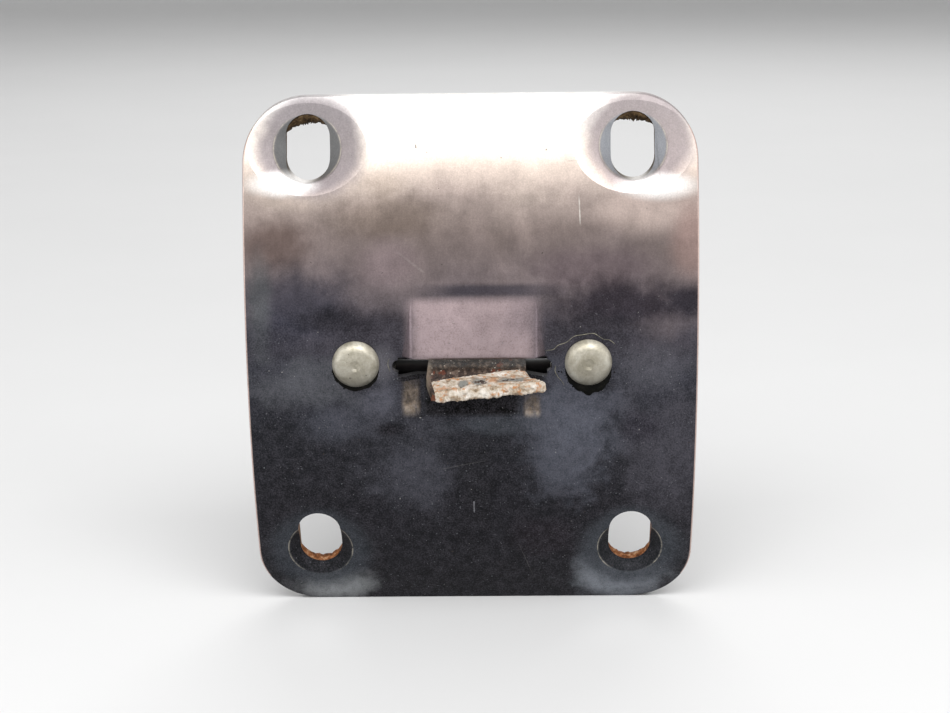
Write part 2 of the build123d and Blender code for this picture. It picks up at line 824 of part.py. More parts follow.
# Lever: a flat strip from a curl on its pin to a point under the tail's bead
lever_side = Plane(
    origin=(0, lever_hinge_y, lever_hinge_z),
    x_dir=(0, -math.cos(lever_tilt), math.sin(lever_tilt)),
    z_dir=(-1, 0, 0),
)
lever_front_y = bead_world.Y - lever_front_overhang
lever_length = (lever_hinge_y - lever_front_y) / math.cos(lever_tilt)
with BuildPart() as switch_lever:
    with BuildSketch(lever_side):
        Rectangle(lever_length, lever_sheet, align=(Align.MIN, Align.CENTER))
        Circle(lever_curl_radius)
        Circle(lever_pin_radius + running_clearance, mode=Mode.SUBTRACT)
    extrude(amount=lever_half_width, both=True)
finish(switch_lever, "switch_lever")

with BuildPart() as lever_pin:
    with BuildSketch(Plane.YZ.offset(cover_inner_x)):
        with Locations((lever_hinge_y, lever_hinge_z)):
            Circle(lever_pin_radius)
    extrude(amount=cavity_far_x - cover_inner_x)
finish(lever_pin, "lever_pin")

# Plunger: a round-topped button with a collar under the case's top wall
lever_under_z = (
    lever_hinge_z
    + plunger_reach * math.tan(lever_tilt)
    - lever_sheet / 2 / math.cos(lever_tilt)
)
plunger_top_z = lever_under_z - plunger_gap
plunger_bottom_z = blade_z + blade_sheet / 2 + contact_gap
collar_top_z = case_top_z - case_floor - plunger_collar_drop
with BuildPart() as switch_plunger:
    with BuildSketch(Plane.XY.offset(plunger_bottom_z)):
        with Locations((0, plunger_y)):
            Circle(plunger_radius)
    extrude(amount=plunger_top_z - plunger_bottom_z)
    fillet(
        switch_plunger.edges().filter_by(GeomType.CIRCLE).sort_by(Axis.Z)[-1],
        radius=plunger_round,
    )
    with BuildSketch(Plane.XY.offset(collar_top_z)):
        with Locations((0, plunger_y)):
            Circle(plunger_collar_radius)
    extrude(amount=-plunger_collar_height)
finish(switch_plunger, "switch_plunger")

# Blade: a flat spring that rocks on its round back edge, with a bowed tongue in a
# window and a contact on both faces
blade_front_y = blade_contact_y - blade_front_overhang
blade_window_front_y = blade_contact_y + blade_window_front_gap
blade_window_back_y = blade_anchor_y - blade_window_back_gap
tongue_end_y = blade_anchor_y - tongue_end_gap
window_middle_y = (blade_window_front_y + blade_window_back_y) / 2
tongue_middle_y = (blade_window_front_y + tongue_end_y) / 2
with BuildPart() as snap_blade:
    with BuildSketch(Plane.XY.offset(blade_z - blade_sheet / 2)):
        with Locations((0, blade_front_y)):
            Rectangle(
                2 * blade_half_width,
                blade_anchor_y - blade_front_y,
                align=(Align.CENTER, Align.MIN),
            )
        with Locations((0, window_middle_y)):
            Rectangle(
                2 * blade_window_half,
                blade_window_back_y - blade_window_front_y,
                mode=Mode.SUBTRACT,
            )
    extrude(amount=blade_sheet)
    with BuildSketch(Plane.YZ):
        with Locations((blade_anchor_y, blade_z)):
            Circle(blade_knuckle_radius)
    extrude(amount=blade_half_width, both=True)
    with BuildSketch(Plane.YZ):
        with BuildLine():
            ThreePointArc(
                (blade_window_front_y - tongue_sheet, blade_z),
                (tongue_middle_y, blade_z - tongue_sag),
                (tongue_end_y, blade_z - tongue_end_drop),
            )
        trace(line_width=tongue_sheet)
    extrude(amount=tongue_half_width, both=True)
    with BuildSketch(Plane.XY.offset(blade_z)):
        with Locations((0, blade_contact_y)):
            Circle(contact_radius)
    extrude(amount=contact_reach, both=True)
finish(snap_blade, "snap_blade")


# A terminal leg with an eye at its end, and a tab with a contact where it has one
def make_terminal(name, tab_side, tab_top_z):
    leg_y, leg_top_z = leg_places[name]
    leg_front_y = leg_y - terminal_sheet / 2
    tab_end_y = blade_contact_y - tab_side * contact_tab_overhang
    contact_base_z = tab_top_z - (0 if tab_side > 0 else terminal_sheet)
    with BuildPart() as terminal:
        with BuildSketch(Plane.XZ.offset(-leg_front_y)):
            with BuildLine():
                FilletPolyline(
                    (-terminal_half_width, leg_top_z),
                    (-terminal_half_width, terminal_end_z),
                    (terminal_half_width, terminal_end_z),
                    (terminal_half_width, leg_top_z),
                    radius=(0, terminal_corner, terminal_corner, 0),
                    close=True,
                )
            make_face()
            with Locations((0, terminal_end_z + terminal_eye_rise)):
                Circle(terminal_eye_radius, mode=Mode.SUBTRACT)
        extrude(amount=-terminal_sheet)
        if tab_side:
            tab_near_y, tab_far_y = sorted((tab_end_y, leg_y - tab_side * terminal_sheet / 2))
            with BuildSketch(Plane.XY.offset(tab_top_z)):
                with Locations((0, tab_near_y)):
                    Rectangle(
                        2 * terminal_half_width,
                        tab_far_y - tab_near_y,
                        align=(Align.CENTER, Align.MIN),
                    )
            extrude(amount=-terminal_sheet)
            with BuildSketch(Plane.XY.offset(contact_base_z)):
                with Locations((0, blade_contact_y)):
                    Circle(contact_radius)
            extrude(amount=tab_side * contact_height)
    finish(terminal, f"{name}_terminal")


terminal_end_z = case_bottom_z - terminal_length
make_terminal("common", 0, common_top_z)
make_terminal("closed", -1, closed_tab_bottom_z + terminal_sheet)
make_terminal("open", 1, open_tab_top_z)

# Screws through the walls and the switch, with spacers, lock washers and nuts
washer_end_x = wall_outer + washer_sheet
bolt_end_x = washer_end_x + nut_height + bolt_end_past_nut
spacer_length = channel_half - case_half_thickness - 2 * spacer_end_gap
for end, (bolt_y, bolt_z) in bolt_places.items():
    with BuildPart() as switch_bolt:
        with BuildSketch(Plane.YZ.offset(-wall_outer)):
            with Locations((bolt_y, bolt_z)):
                Circle(bolt_head_radius)
        extrude(amount=-bolt_head_height)
        fillet(
            switch_bolt.edges().filter_by(GeomType.CIRCLE).sort_by(Axis.X)[0],
            radius=bolt_head_round,
        )
        with BuildSketch(Plane.YZ.offset(-wall_outer)):
            with Locations((bolt_y, bolt_z)):
                Circle(small_screw_radius)
        extrude(amount=wall_outer + bolt_end_x)
        with BuildSketch(Plane.YZ.offset(-wall_outer - bolt_head_height)):
            with Locations((bolt_y, bolt_z)):
                Rectangle(driver_slot_width, 2 * bolt_head_radius)
        extrude(amount=driver_slot_depth, mode=Mode.SUBTRACT)
    finish(switch_bolt, f"switch_bolt_{end}")

    with BuildPart() as lock_washer:
        with BuildSketch(Plane.YZ.offset(wall_outer)):
            with Locations((bolt_y, bolt_z)):
                Circle(washer_radius)
                Circle(screw_hole_radius, mode=Mode.SUBTRACT)
                Rectangle(
                    washer_split,
                    washer_radius,
                    align=(Align.CENTER, Align.MIN),
                    mode=Mode.SUBTRACT,
                )
        extrude(amount=washer_sheet)
    finish(lock_washer, f"lock_washer_{end}")

    nut_seat = Plane(origin=(washer_end_x, bolt_y, bolt_z), x_dir=(0, 1, 0), z_dir=(1, 0, 0))
    make_nut(nut_seat, f"switch_nut_{end}")

    for side, start_x in (
        ("left", spacer_end_gap - channel_half),
        ("right", case_half_thickness + spacer_end_gap),
    ):
        with BuildPart() as spacer:
            with BuildSketch(Plane.YZ.offset(start_x)):
                with Locations((bolt_y, bolt_z)):
                    Circle(spacer_radius)
                    Circle(screw_hole_radius, mode=Mode.SUBTRACT)
            extrude(amount=spacer_length)
        finish(spacer, f"spacer_{end}_{side}")
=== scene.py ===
import bpy
import bmesh
import json
import math
from mathutils import Matrix, Vector, noise


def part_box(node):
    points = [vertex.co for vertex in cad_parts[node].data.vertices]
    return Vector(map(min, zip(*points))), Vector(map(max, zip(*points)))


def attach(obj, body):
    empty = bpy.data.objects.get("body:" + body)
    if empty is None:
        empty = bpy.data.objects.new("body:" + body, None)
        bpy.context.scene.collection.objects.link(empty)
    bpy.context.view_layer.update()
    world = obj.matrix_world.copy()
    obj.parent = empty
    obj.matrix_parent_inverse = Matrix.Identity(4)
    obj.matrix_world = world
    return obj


# Lift detector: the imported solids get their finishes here, and the crust, dirt, sealant,
# threads and grains that lie on them are made as meshes. Sizes below are in millimetres.
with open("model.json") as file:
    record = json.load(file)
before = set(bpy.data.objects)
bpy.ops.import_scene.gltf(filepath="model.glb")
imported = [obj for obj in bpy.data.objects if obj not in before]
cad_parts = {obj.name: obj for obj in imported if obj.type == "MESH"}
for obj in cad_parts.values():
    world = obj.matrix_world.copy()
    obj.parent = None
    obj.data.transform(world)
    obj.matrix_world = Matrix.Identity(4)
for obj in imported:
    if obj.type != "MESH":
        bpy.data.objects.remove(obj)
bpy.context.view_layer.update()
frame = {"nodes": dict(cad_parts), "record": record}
mm = 0.001
print("frame loaded:", len(frame["nodes"]), "pieces")


def addNode(tree, kind, values=None, prefix="ShaderNode", **settings):
    node = tree.nodes.new(prefix + kind)
    for key, value in settings.items():
        setattr(node, key, value)
    for key, value in (values or {}).items():
        if isinstance(value, bpy.types.NodeSocket):
            tree.links.new(value, node.inputs[key])
        else:
            node.inputs[key].default_value = value
    return node


def calc(tree, operation, first, second=0.0):
    return addNode(tree, "Math", {0: first, 1: second}, operation=operation).outputs[0]


def times(tree, first, second):
    return calc(tree, "MULTIPLY", first, second)


def plus(tree, first, second):
    return calc(tree, "ADD", first, second)


# A noise that swings about zero instead of a half
def sway(tree, field, amount):
    return times(tree, calc(tree, "SUBTRACT", field, 0.5), amount)


def axes(tree, vector):
    return addNode(tree, "SeparateXYZ", {0: vector}).outputs


# Two plain numbers go through Map Range: a big material runs out of room with a colour ramp for each
def ramp(tree, factor, stops, ease="LINEAR"):
    if len(stops) == 2 and not isinstance(stops[0][1], tuple):
        (low, first), (high, last) = stops
        kind = "SMOOTHSTEP" if ease == "EASE" else "LINEAR"
        values = {0: factor, 1: low, 2: high, 3: first, 4: last}
        return addNode(tree, "MapRange", values, interpolation_type=kind).outputs[0]
    node = addNode(tree, "ValToRGB", {0: factor})
    node.color_ramp.interpolation = ease
    marks = node.color_ramp.elements
    while len(marks) < len(stops):
        marks.new(0.5)
    for mark, (place, colour) in zip(marks, stops):
        mark.position = place
        mark.color = (*colour, 1) if isinstance(colour, tuple) else (colour, colour, colour, 1)
    return node.outputs[0]


def blendColour(tree, factor, under, over, kind="MIX"):
    node = addNode(tree, "Mix", data_type="RGBA", blend_type=kind)
    for key, value in ((0, factor), (6, under), (7, over)):
        if isinstance(value, bpy.types.NodeSocket):
            tree.links.new(value, node.inputs[key])
        else:
            node.inputs[key].default_value = value if key == 0 else (*value, 1)
    return node.outputs[2]


def paint(tree, under, tint, factor, strength):
    return blendColour(tree, times(tree, factor, strength), under, tint)


def cloud(tree, coords, size, detail=4.0, rough=0.55, twist=0.0, stretch=(1, 1, 1), shift=(0, 0, 0)):
    if stretch != (1, 1, 1) or shift != (0, 0, 0):
        coords = addNode(tree, "Mapping", {0: coords, 1: shift, 3: stretch}).outputs[0]
    return addNode(tree, "TexNoise", {
        "Vector": coords, "Scale": 1 / (size * mm), "Detail": detail, "Roughness": rough, "Distortion": twist,
    }).outputs[0]


# Dots of uneven size and place: a cell pattern bent by noise and thinned by a second noise
def dots(tree, coords, size, radius, share, shift=(0, 0, 0)):
    moved = addNode(tree, "Mapping", {0: coords, 1: shift}).outputs[0]
    bend = addNode(tree, "TexNoise", {"Vector": moved, "Scale": 2.5 / (size * mm), "Detail": 1.0})
    bend = addNode(tree, "VectorMath", {0: bend.outputs["Color"], 1: (0.5, 0.5, 0.5)}, operation="SUBTRACT")
    bend = addNode(tree, "VectorMath", {0: bend.outputs[0], 3: size * mm * 0.5}, operation="SCALE")
    moved = addNode(tree, "VectorMath", {0: moved, 1: bend.outputs[0]}, operation="ADD").outputs[0]
    cell = addNode(tree, "TexVoronoi", {"Vector": moved, "Scale": 1 / (size * mm)})
    keep = addNode(tree, "SeparateColor", {0: cell.outputs["Color"]})
    reach = times(tree, keep.outputs[0], radius)
    inside = calc(tree, "LESS_THAN", cell.outputs["Distance"], reach)
    return times(tree, inside, calc(tree, "LESS_THAN", keep.outputs[1], share))


def startMaterial(name, metallic=0.0, roughness=0.5):
    material = bpy.data.materials.new(name)
    material.use_nodes = True
    tree = material.node_tree
    tree.nodes.clear()
    output = tree.nodes.new("ShaderNodeOutputMaterial")
    shader = addNode(tree, "BsdfPrincipled", {"Metallic": metallic, "Roughness": roughness})
    tree.links.new(shader.outputs[0], output.inputs["Surface"])
    coords = addNode(tree, "TexCoord").outputs["Object"]
    return material, tree, shader, coords


def addBump(tree, shader, height, strength, distance):
    bump = addNode(tree, "Bump", {"Strength": strength, "Distance": distance * mm, "Height": height})
    tree.links.new(bump.outputs[0], shader.inputs["Normal"])


cameraLook = {
    "lens": 74.39,
    "sensor": 36.0,
    "target": (0.5, 0.0, 0.85),
    "distance": 332.0,
    "elevation": 15.0,
    "yaw": 0.9,
    "roll": -0.7,
}


def makeCamera(look):
    data = bpy.data.cameras.new("studioCamera")
    data.lens = look["lens"]
    data.sensor_width = look["sensor"]
    camera = bpy.data.objects.new("studioCamera", data)
    bpy.context.scene.collection.objects.link(camera)
    tilt, yaw, roll = (math.radians(look[key]) for key in ("elevation", "yaw", "roll"))
    back = Vector((math.sin(yaw) * math.cos(tilt), -math.cos(yaw) * math.cos(tilt), math.sin(tilt)))
    right = Vector((math.cos(yaw), math.sin(yaw), 0))
    up = right.cross(-back)
    across = right * math.cos(roll) + up * math.sin(roll)
    upright = up * math.cos(roll) - right * math.sin(roll)
    place = Matrix((across, upright, back)).transposed().to_4x4()
    place.translation = (Vector(look["target"]) + back * look["distance"]) * mm
    camera.matrix_world = place
    data.clip_start, data.clip_end = 0.01, 20
    bpy.context.scene.camera = camera


makeCamera(cameraLook)

studioLook = {
    "floorColour": (0.70, 0.70, 0.70),
    "worldStrength": 0.42,
    "floorReach": 1.6,
    "wallBend": 0.35,
    "bendSteps": 12,
    "lamps": [
        # name, place, aim, size across and up, watts
        ("overheadSoftbox", (0.05, -0.52, 0.66), (0, 0, 0.02), (0.9, 0.42), 7.5),
        ("leftFill", (-0.75, -0.35, 0.25), (0, 0, 0), (0.5, 0.6), 1.8),
        ("rightFill", (0.8, -0.3, 0.22), (0, 0, 0), (0.5, 0.6), 1.6),
        ("backLight", (0.1, 0.75, 0.55), (0, 0.02, 0), (0.8, 0.5), 2.6),
    ],
}


def makeStudio(look):
    world = bpy.data.worlds.new("studioAir")
    bpy.context.scene.world = world
    world.use_nodes = True
    world.node_tree.nodes["Background"].inputs[0].default_value = (1, 1, 1, 1)
    world.node_tree.nodes["Background"].inputs[1].default_value = look["worldStrength"]
    for name, place, aim, (across, up), watts in look["lamps"]:
        data = bpy.data.lights.new(name, "AREA")
        data.shape = "RECTANGLE"
        data.size, data.size_y = across, up
        data.energy = watts
        lamp = bpy.data.objects.new(name, data)
        lamp.location = place
        lamp.rotation_mode = "QUATERNION"
        lamp.rotation_quaternion = (Vector(aim) - Vector(place)).to_track_quat("-Z", "Y")
        bpy.context.scene.collection.objects.link(lamp)
    material, tree, shader, coords = startMaterial("paleFloor", 0.0, 0.85)
    shade = cloud(tree, coords, 60, 3)
    floorColour = look["floorColour"]
    paler = tuple(value * 1.04 for value in floorColour)
    tree.links.new(blendColour(tree, shade, floorColour, paler), shader.inputs["Base Color"])
    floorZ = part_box("face_plate")[0].z
    reach, bend = look["floorReach"], look["wallBend"]
    profile = [(-reach, 0.0), (reach - bend, 0.0)]
    for step in range(1, look["bendSteps"] + 1):
        turn = step / look["bendSteps"] * math.pi / 2
        profile.append((reach - bend + bend * math.sin(turn), bend - bend * math.cos(turn)))
    profile.append((reach, reach * 1.2))
    mesh = bpy.data.meshes.new("paleSweep")
    corners = [(side * 2 * reach, y, floorZ + z) for y, z in profile for side in (-1, 1)]
    faces = [(2 * i, 2 * i + 1, 2 * i + 3, 2 * i + 2) for i in range(len(profile) - 1)]
    mesh.from_pydata(corners, [], faces)
    for face in mesh.polygons:
        face.use_smooth = True
    mesh.materials.append(material)
    sweep = bpy.data.objects.new("paleSweep", mesh)
    bpy.context.scene.collection.objects.link(sweep)


makeStudio(studioLook)
bpy.context.scene.view_settings.view_transform = "Standard"
print("camera, lamps and floor made")

# The face plate is stainless sheet, tarnished by heat and weather; its bands from a bright top edge to a
# blue-black foot are partly tarnish and partly painted reflection, light at the top and dark at the foot. A
# place on it is x, z, half width and half height.
plateLook = {
    "height": (-46.55, 44.05),
    "wander": 12.0,
    "metal": 0.80,
    "specular": (0.50, 0.02),
    "bands": [
        (0.00, (0.010, 0.010, 0.012)),
        (0.22, (0.009, 0.009, 0.012)),
        (0.38, (0.013, 0.014, 0.018)),
        (0.50, (0.026, 0.027, 0.036)),
        (0.58, (0.060, 0.054, 0.066)),
        (0.66, (0.215, 0.175, 0.180)),
        (0.76, (0.245, 0.195, 0.180)),
        (0.81, (0.380, 0.310, 0.280)),
        (0.86, (0.560, 0.470, 0.410)),
        (0.91, (0.700, 0.620, 0.550)),
        (1.00, (0.880, 0.860, 0.840)),
    ],
    "stains": [
        # name, x, z, half width, half height, ragged edge, colour, strength
        # The first two stains are painted highlight, fading out below the upper dishes
        ("leftPaintedHighlight", -30.0, 27.8, 9.0, 3.2, 0.5, (0.600, 0.500, 0.430), 0.45),
        ("rightPaintedHighlight", 29.5, 25.4, 11.0, 5.4, 0.5, (0.620, 0.500, 0.450), 0.65),
        ("rightEdge", 37.0, 20.5, 5.0, 9.0, 0.6, (0.420, 0.290, 0.260), 0.70),
        ("brownTop", -14.5, 30.0, 5.0, 3.6, 0.6, (0.330, 0.265, 0.215), 0.40),
        ("brownCloud", -14.0, 24.8, 12.0, 5.0, 0.9, (0.175, 0.130, 0.100), 0.50),
        ("brownLeft", -33.0, 20.5, 9.5, 6.0, 0.9, (0.125, 0.080, 0.068), 0.60),
        ("mauveLeft", -13.5, 17.0, 7.0, 5.5, 0.8, (0.320, 0.245, 0.255), 0.55),
        ("leftBlue", -30.0, 9.5, 14.0, 9.0, 1.0, (0.046, 0.048, 0.070), 0.75),
        ("leftBlack", -22.0, 7.5, 12.0, 3.6, 1.0, (0.014, 0.013, 0.018), 0.80),
        ("leftGrey", -35.5, 10.0, 3.0, 13.0, 0.8, (0.115, 0.125, 0.130), 0.60),
        ("mauveRight", 20.0, 16.0, 14.0, 5.0, 1.0, (0.165, 0.120, 0.135), 0.50),
        ("darkRight", 26.0, 10.0, 16.0, 5.6, 1.0, (0.024, 0.019, 0.028), 0.88),
        ("darkEdge", 35.5, 10.5, 5.5, 5.0, 0.8, (0.018, 0.016, 0.024), 0.88),
        ("duskRight", 23.0, 5.8, 11.0, 4.0, 1.0, (0.018, 0.018, 0.024), 0.55),
        ("duskLeft", -33.0, 5.0, 8.0, 5.0, 1.0, (0.018, 0.018, 0.026), 0.45),
        ("leftHaze", -28.0, -3.0, 13.0, 7.0, 1.7, (0.135, 0.140, 0.155), 0.50),
        ("leftOfSlot", -15.5, 0.0, 3.6, 4.5, 0.8, (0.165, 0.160, 0.180), 0.60),
        ("leftLow", -23.5, -10.5, 9.0, 5.0, 1.2, (0.095, 0.100, 0.125), 0.45),
        ("rightOfRivet", 31.0, -1.0, 9.0, 6.0, 1.0, (0.125, 0.125, 0.145), 0.40),
        ("rightHaze", 17.0, -14.0, 11.5, 15.0, 1.8, (0.150, 0.160, 0.200), 0.56),
        ("rightField", 33.0, -16.0, 12.0, 18.0, 1.7, (0.096, 0.092, 0.112), 0.42),
        ("middleHaze", -10.0, -19.5, 11.0, 11.0, 2.0, (0.096, 0.098, 0.120), 0.48),
        ("middleDark", 0.0, -20.5, 5.0, 12.0, 1.2, (0.010, 0.010, 0.012), 0.65),
        ("darkPatch", 28.5, -11.5, 5.0, 4.0, 1.2, (0.016, 0.014, 0.022), 0.65),
        ("lowerHaze", 3.0, -11.0, 10.0, 2.8, 1.1, (0.080, 0.090, 0.106), 0.50),
        ("blueUnderLeft", -15.5, -6.5, 4.5, 5.0, 0.9, (0.140, 0.142, 0.175), 0.50),
        ("blackSmudge", -13.6, -11.8, 3.4, 1.7, 1.6, (0.003, 0.003, 0.005), 0.95),
        ("leftDirt", -18.6, -3.6, 5.0, 2.0, 0.8, (0.006, 0.006, 0.008), 0.55),
        ("rightDirt", 20.9, -3.8, 4.2, 2.0, 1.0, (0.006, 0.006, 0.007), 0.75),
        ("footLeft", -25.5, -43.2, 9.5, 4.8, 1.4, (0.330, 0.345, 0.355), 0.85),
        ("footRight", 25.5, -42.0, 11.5, 5.8, 1.4, (0.310, 0.335, 0.375), 0.85),
        ("footRed", 12.0, -33.0, 9.0, 6.0, 1.1, (0.018, 0.013, 0.018), 0.60),
    ],
    # Painted light on the raised lip: painted shadow above it, painted reflection on its face, painted
    # highlight on its lower edge and painted shade on its right part
    "lip": [
        # name, x, z, half width, half height, softness, colour, strength
        ("shadowAbove", 3.0, 12.5, 15.0, 1.5, 0.75, (0.040, 0.038, 0.054), 0.75),
        ("paintedReflectionFace", 0.3, 6.1, 12.4, 5.7, 0.32, (0.540, 0.420, 0.430), 0.80),
        ("paintedHighlightEdge", 0.3, 0.7, 11.2, 0.9, 0.50, (0.700, 0.560, 0.520), 0.80),
        ("duskRight", 9.5, 8.0, 6.5, 6.0, 0.95, (0.100, 0.085, 0.100), 0.40),
    ],
    # Painted shade on the lip's faces that face left and right
    "lipSideShade": ((0.2, 6.0, 14.5, 8.0), (0.150, 0.115, 0.130)),
    # Painted reflection on the ramp's sloping sides beside the vane, and its colours from top to foot
    "paintedRampReflection": [(-10.4, -5.6, 1.9, 4.2), (10.1, -7.4, 1.8, 2.6)],
    "paintedRampReflectionTints": [
        (0.40, (0.090, 0.070, 0.052)), (0.70, (0.260, 0.200, 0.145)), (0.95, (0.500, 0.420, 0.340)),
    ],
    # Painted shade: the slot and the ramp's middle, in the vane's shadow, are painted black, and so are the
    # cut faces that lie flat there
    "black": [((-0.1, -1.6, 13.3, 1.5), 0.12), ((-0.1, -5.6, 9.1, 3.9), 0.22)],
    "paintedShadeLying": (-0.1, -2.2, 14.0, 2.6),
    "paintedShadeTint": (0.006, 0.006, 0.006),
    "dishes": [
        # x, z of the screw slot's dish, shift of the pool of painted shade, its reach and colour,
        # colour of the painted shade on the dish's inner slope, colour of the slot's wall, strength of the
        # crest
        (-27.3, 35.65, 0.6, 10.8, (0.215, 0.190, 0.200), (0.170, 0.175, 0.175), (0.110, 0.075, 0.035), 0.8),
        (27.3, 35.65, 1.2, 10.8, (0.290, 0.250, 0.255), (0.330, 0.350, 0.380), (0.120, 0.090, 0.050), 0.8),
        (-27.3, -35.65, 0.0, 10.2, (0.045, 0.052, 0.062), (0.006, 0.006, 0.007), (0.400, 0.190, 0.070), 0.8),
        (27.3, -35.65, 0.0, 10.2, (0.060, 0.068, 0.080), (0.010, 0.011, 0.012), (0.380, 0.140, 0.065), 0.9),
    ],
    "sink": (5.75, 5.55),
    "slotReach": (5.2, 8.0),
    "crestDrop": 0.8,
    "crestTint": (0.56, 0.52, 0.43),
    "oldRust": (0.05, 0.03, 0.018),
    # Painted highlights: bright crescents below the upper dishes
    "glints": [(-31.5, 30.0, 7.5, 2.6), (31.5, 29.2, 8.5, 2.8)],
    "glintTint": (0.90, 0.88, 0.86),
    "edgeFrom": 36.5,
    "edgeTint": (0.620, 0.470, 0.420),
    "scuffTint": (0.082, 0.076, 0.090),
    # Cell, radius and share of the dots, shift of their pattern, their colour and strength
    "specks": (0.60, 0.17, 0.55, (0, 0, 0), (0.22, 0.23, 0.25), 0.55),
    "sparks": (2.6, 0.055, 0.6, (0.2, 0.4, 0.1), (0.45, 0.44, 0.42), 0.7),
    "pits": (2.4, 0.085, 0.45, (0.4, 0.2, 0.9), (0.05, 0.04, 0.035), 0.7),
    "scratches": [
        # x, z of the middle, half length, half width, turn in degrees from level, brightness
        (18.2, 25.5, 2.7, 0.13, 92.0, 0.75),
        (17.2, 33.4, 1.3, 0.10, 2.0, -0.35),
        (-10.0, 17.2, 3.4, 0.24, -38.0, 0.12),
        (31.5, 33.0, 3.6, 0.20, 94.0, -0.25),
        (-2.0, -18.5, 5.0, 0.10, 12.0, 0.05),
        (9.0, -38.0, 4.5, 0.09, -70.0, 0.05),
    ],
    "brightScratch": (0.80, 0.76, 0.70),
    "darkScratch": (0.06, 0.05, 0.05),
}


# How far a point is from a middle in x and z, counted in half sizes
def reachFrom(tree, coords, x, z, halfWidth, halfHeight, turn=0.0):
    scale = (1 / (halfWidth * mm), 0, 1 / (halfHeight * mm))
    if not turn:
        values = {0: coords, 1: scale, 2: (-x / halfWidth, 0, -z / halfHeight)}
        return addNode(tree, "VectorMath", values, operation="MULTIPLY_ADD").outputs[0]
    moved = addNode(tree, "VectorMath", {0: coords, 1: (x * mm, 0, z * mm)}, operation="SUBTRACT").outputs[0]
    values = {"Vector": moved, "Angle": math.radians(turn)}
    turned = addNode(tree, "VectorRotate", values, rotation_type="Y_AXIS").outputs[0]
    return addNode(tree, "VectorMath", {0: turned, 1: scale}, operation="MULTIPLY").outputs[0]


def lengthOf(tree, vector):
    return addNode(tree, "VectorMath", {0: vector}, operation="LENGTH").outputs["Value"]


def stainFactor(tree, coords, x, z, halfWidth, halfHeight, ragged, edge):
    reach = lengthOf(tree, reachFrom(tree, coords, x, z, halfWidth, halfHeight))
    spread = sway(tree, edge, ragged)
    return ramp(tree, plus(tree, reach, spread), [(0.25, 1.0), (1.0, 0.0)], "EASE")


def softBox(tree, vector, soft):
    x, _, z = axes(tree, vector)
    across, up = (
        ramp(tree, calc(tree, "ABSOLUTE", value), [(1 - soft, 1.0), (1.0, 0.0)], "EASE") for value in (x, z)
    )
    return times(tree, across, up)


# The ramp below the slot: painted reflection in tan at its sides, painted shade in black in its middle and at
# the slot
def paintRamp(tree, coords, colour, mottled, facing, look):
    streaks = cloud(tree, coords, 0.9, 4, 0.6, stretch=(1.0, 1.0, 0.35), shift=(0.3, 0.8, 0.1))
    # Painted reflection in tan on the ramp's sides
    for place in look["paintedRampReflection"]:
        vector = reachFrom(tree, coords, *place)
        paintedRampReflection = times(tree, softBox(tree, vector, 0.6), ramp(tree, streaks, [(0.35, 0.35), (0.58, 1.0)]))
        rise = axes(tree, vector)[2]
        uneven = plus(tree, times(tree, rise, -0.5), mottled)
        colour = paint(tree, colour, ramp(tree, uneven, look["paintedRampReflectionTints"]), paintedRampReflection, 0.95)
    paintedShade = 0.0
    for place, soft in look["black"]:
        shade = softBox(tree, reachFrom(tree, coords, *place), soft)
        paintedShade = calc(tree, "MAXIMUM", paintedShade, shade)
    lying = times(tree, ramp(tree, facing[2], [(0.6, 0.0), (0.8, 1.0)]),
                  softBox(tree, reachFrom(tree, coords, *look["paintedShadeLying"]), 0.1))
    paintedShade = calc(tree, "MAXIMUM", paintedShade, lying)
    return paint(tree, colour, look["paintedShadeTint"], paintedShade, 0.97), paintedShade


# Dishes round the screw slots: a pool of painted shade, painted shade on the inner slope, a rusty wall and a
# pale crest, strongest at the sides
def paintDishes(tree, coords, colour, patch, mottled, facing, look):
    dull = 0.0
    for x, z, shift, size, tint, slopeShade, wallTint, strength in look["dishes"]:
        reach = lengthOf(tree, reachFrom(tree, coords, x + shift, z + shift, size, size * 0.92))
        spread = sway(tree, patch, 0.30)
        dishShade = ramp(tree, plus(tree, reach, spread), [(0.66, 1.0), (1.04, 0.0)], "EASE")
        colour = paint(tree, colour, tint, dishShade, 0.90)
        dull = calc(tree, "MAXIMUM", dull, dishShade)
        ring = lengthOf(tree, reachFrom(tree, coords, x, z, *look["sink"]))
        colour = paint(tree, colour, slopeShade, ramp(tree, ring, [(0.93, 1.0), (1.0, 0.0)]), 0.85)
        wall = lengthOf(tree, reachFrom(tree, coords, x, z, *look["slotReach"]))
        wall = ramp(tree, wall, [(0.92, 1.0), (1.0, 0.0)])
        inward = ramp(tree, calc(tree, "ABSOLUTE", facing[1]), [(0.25, 1.0), (0.60, 0.0)])
        wall = times(tree, wall, inward)
        colour = blendColour(tree, wall, colour, blendColour(tree, mottled, look["oldRust"], wallTint))
        crest = ramp(tree, ring, [(0.95, 0.0), (1.0, 1.0), (1.05, 0.0)])
        crest = times(tree, crest, ramp(tree, mottled, [(0.40, 0.15), (0.55, 1.0)]))
        aside = reachFrom(tree, coords, x, z - look["crestDrop"], *look["sink"])
        aside = calc(tree, "ABSOLUTE", axes(tree, aside)[0])
        crest = times(tree, crest, ramp(tree, aside, [(0.50, 0.05), (0.80, 1.0)]))
        colour = paint(tree, colour, look["crestTint"], crest, strength)
    return colour, dull


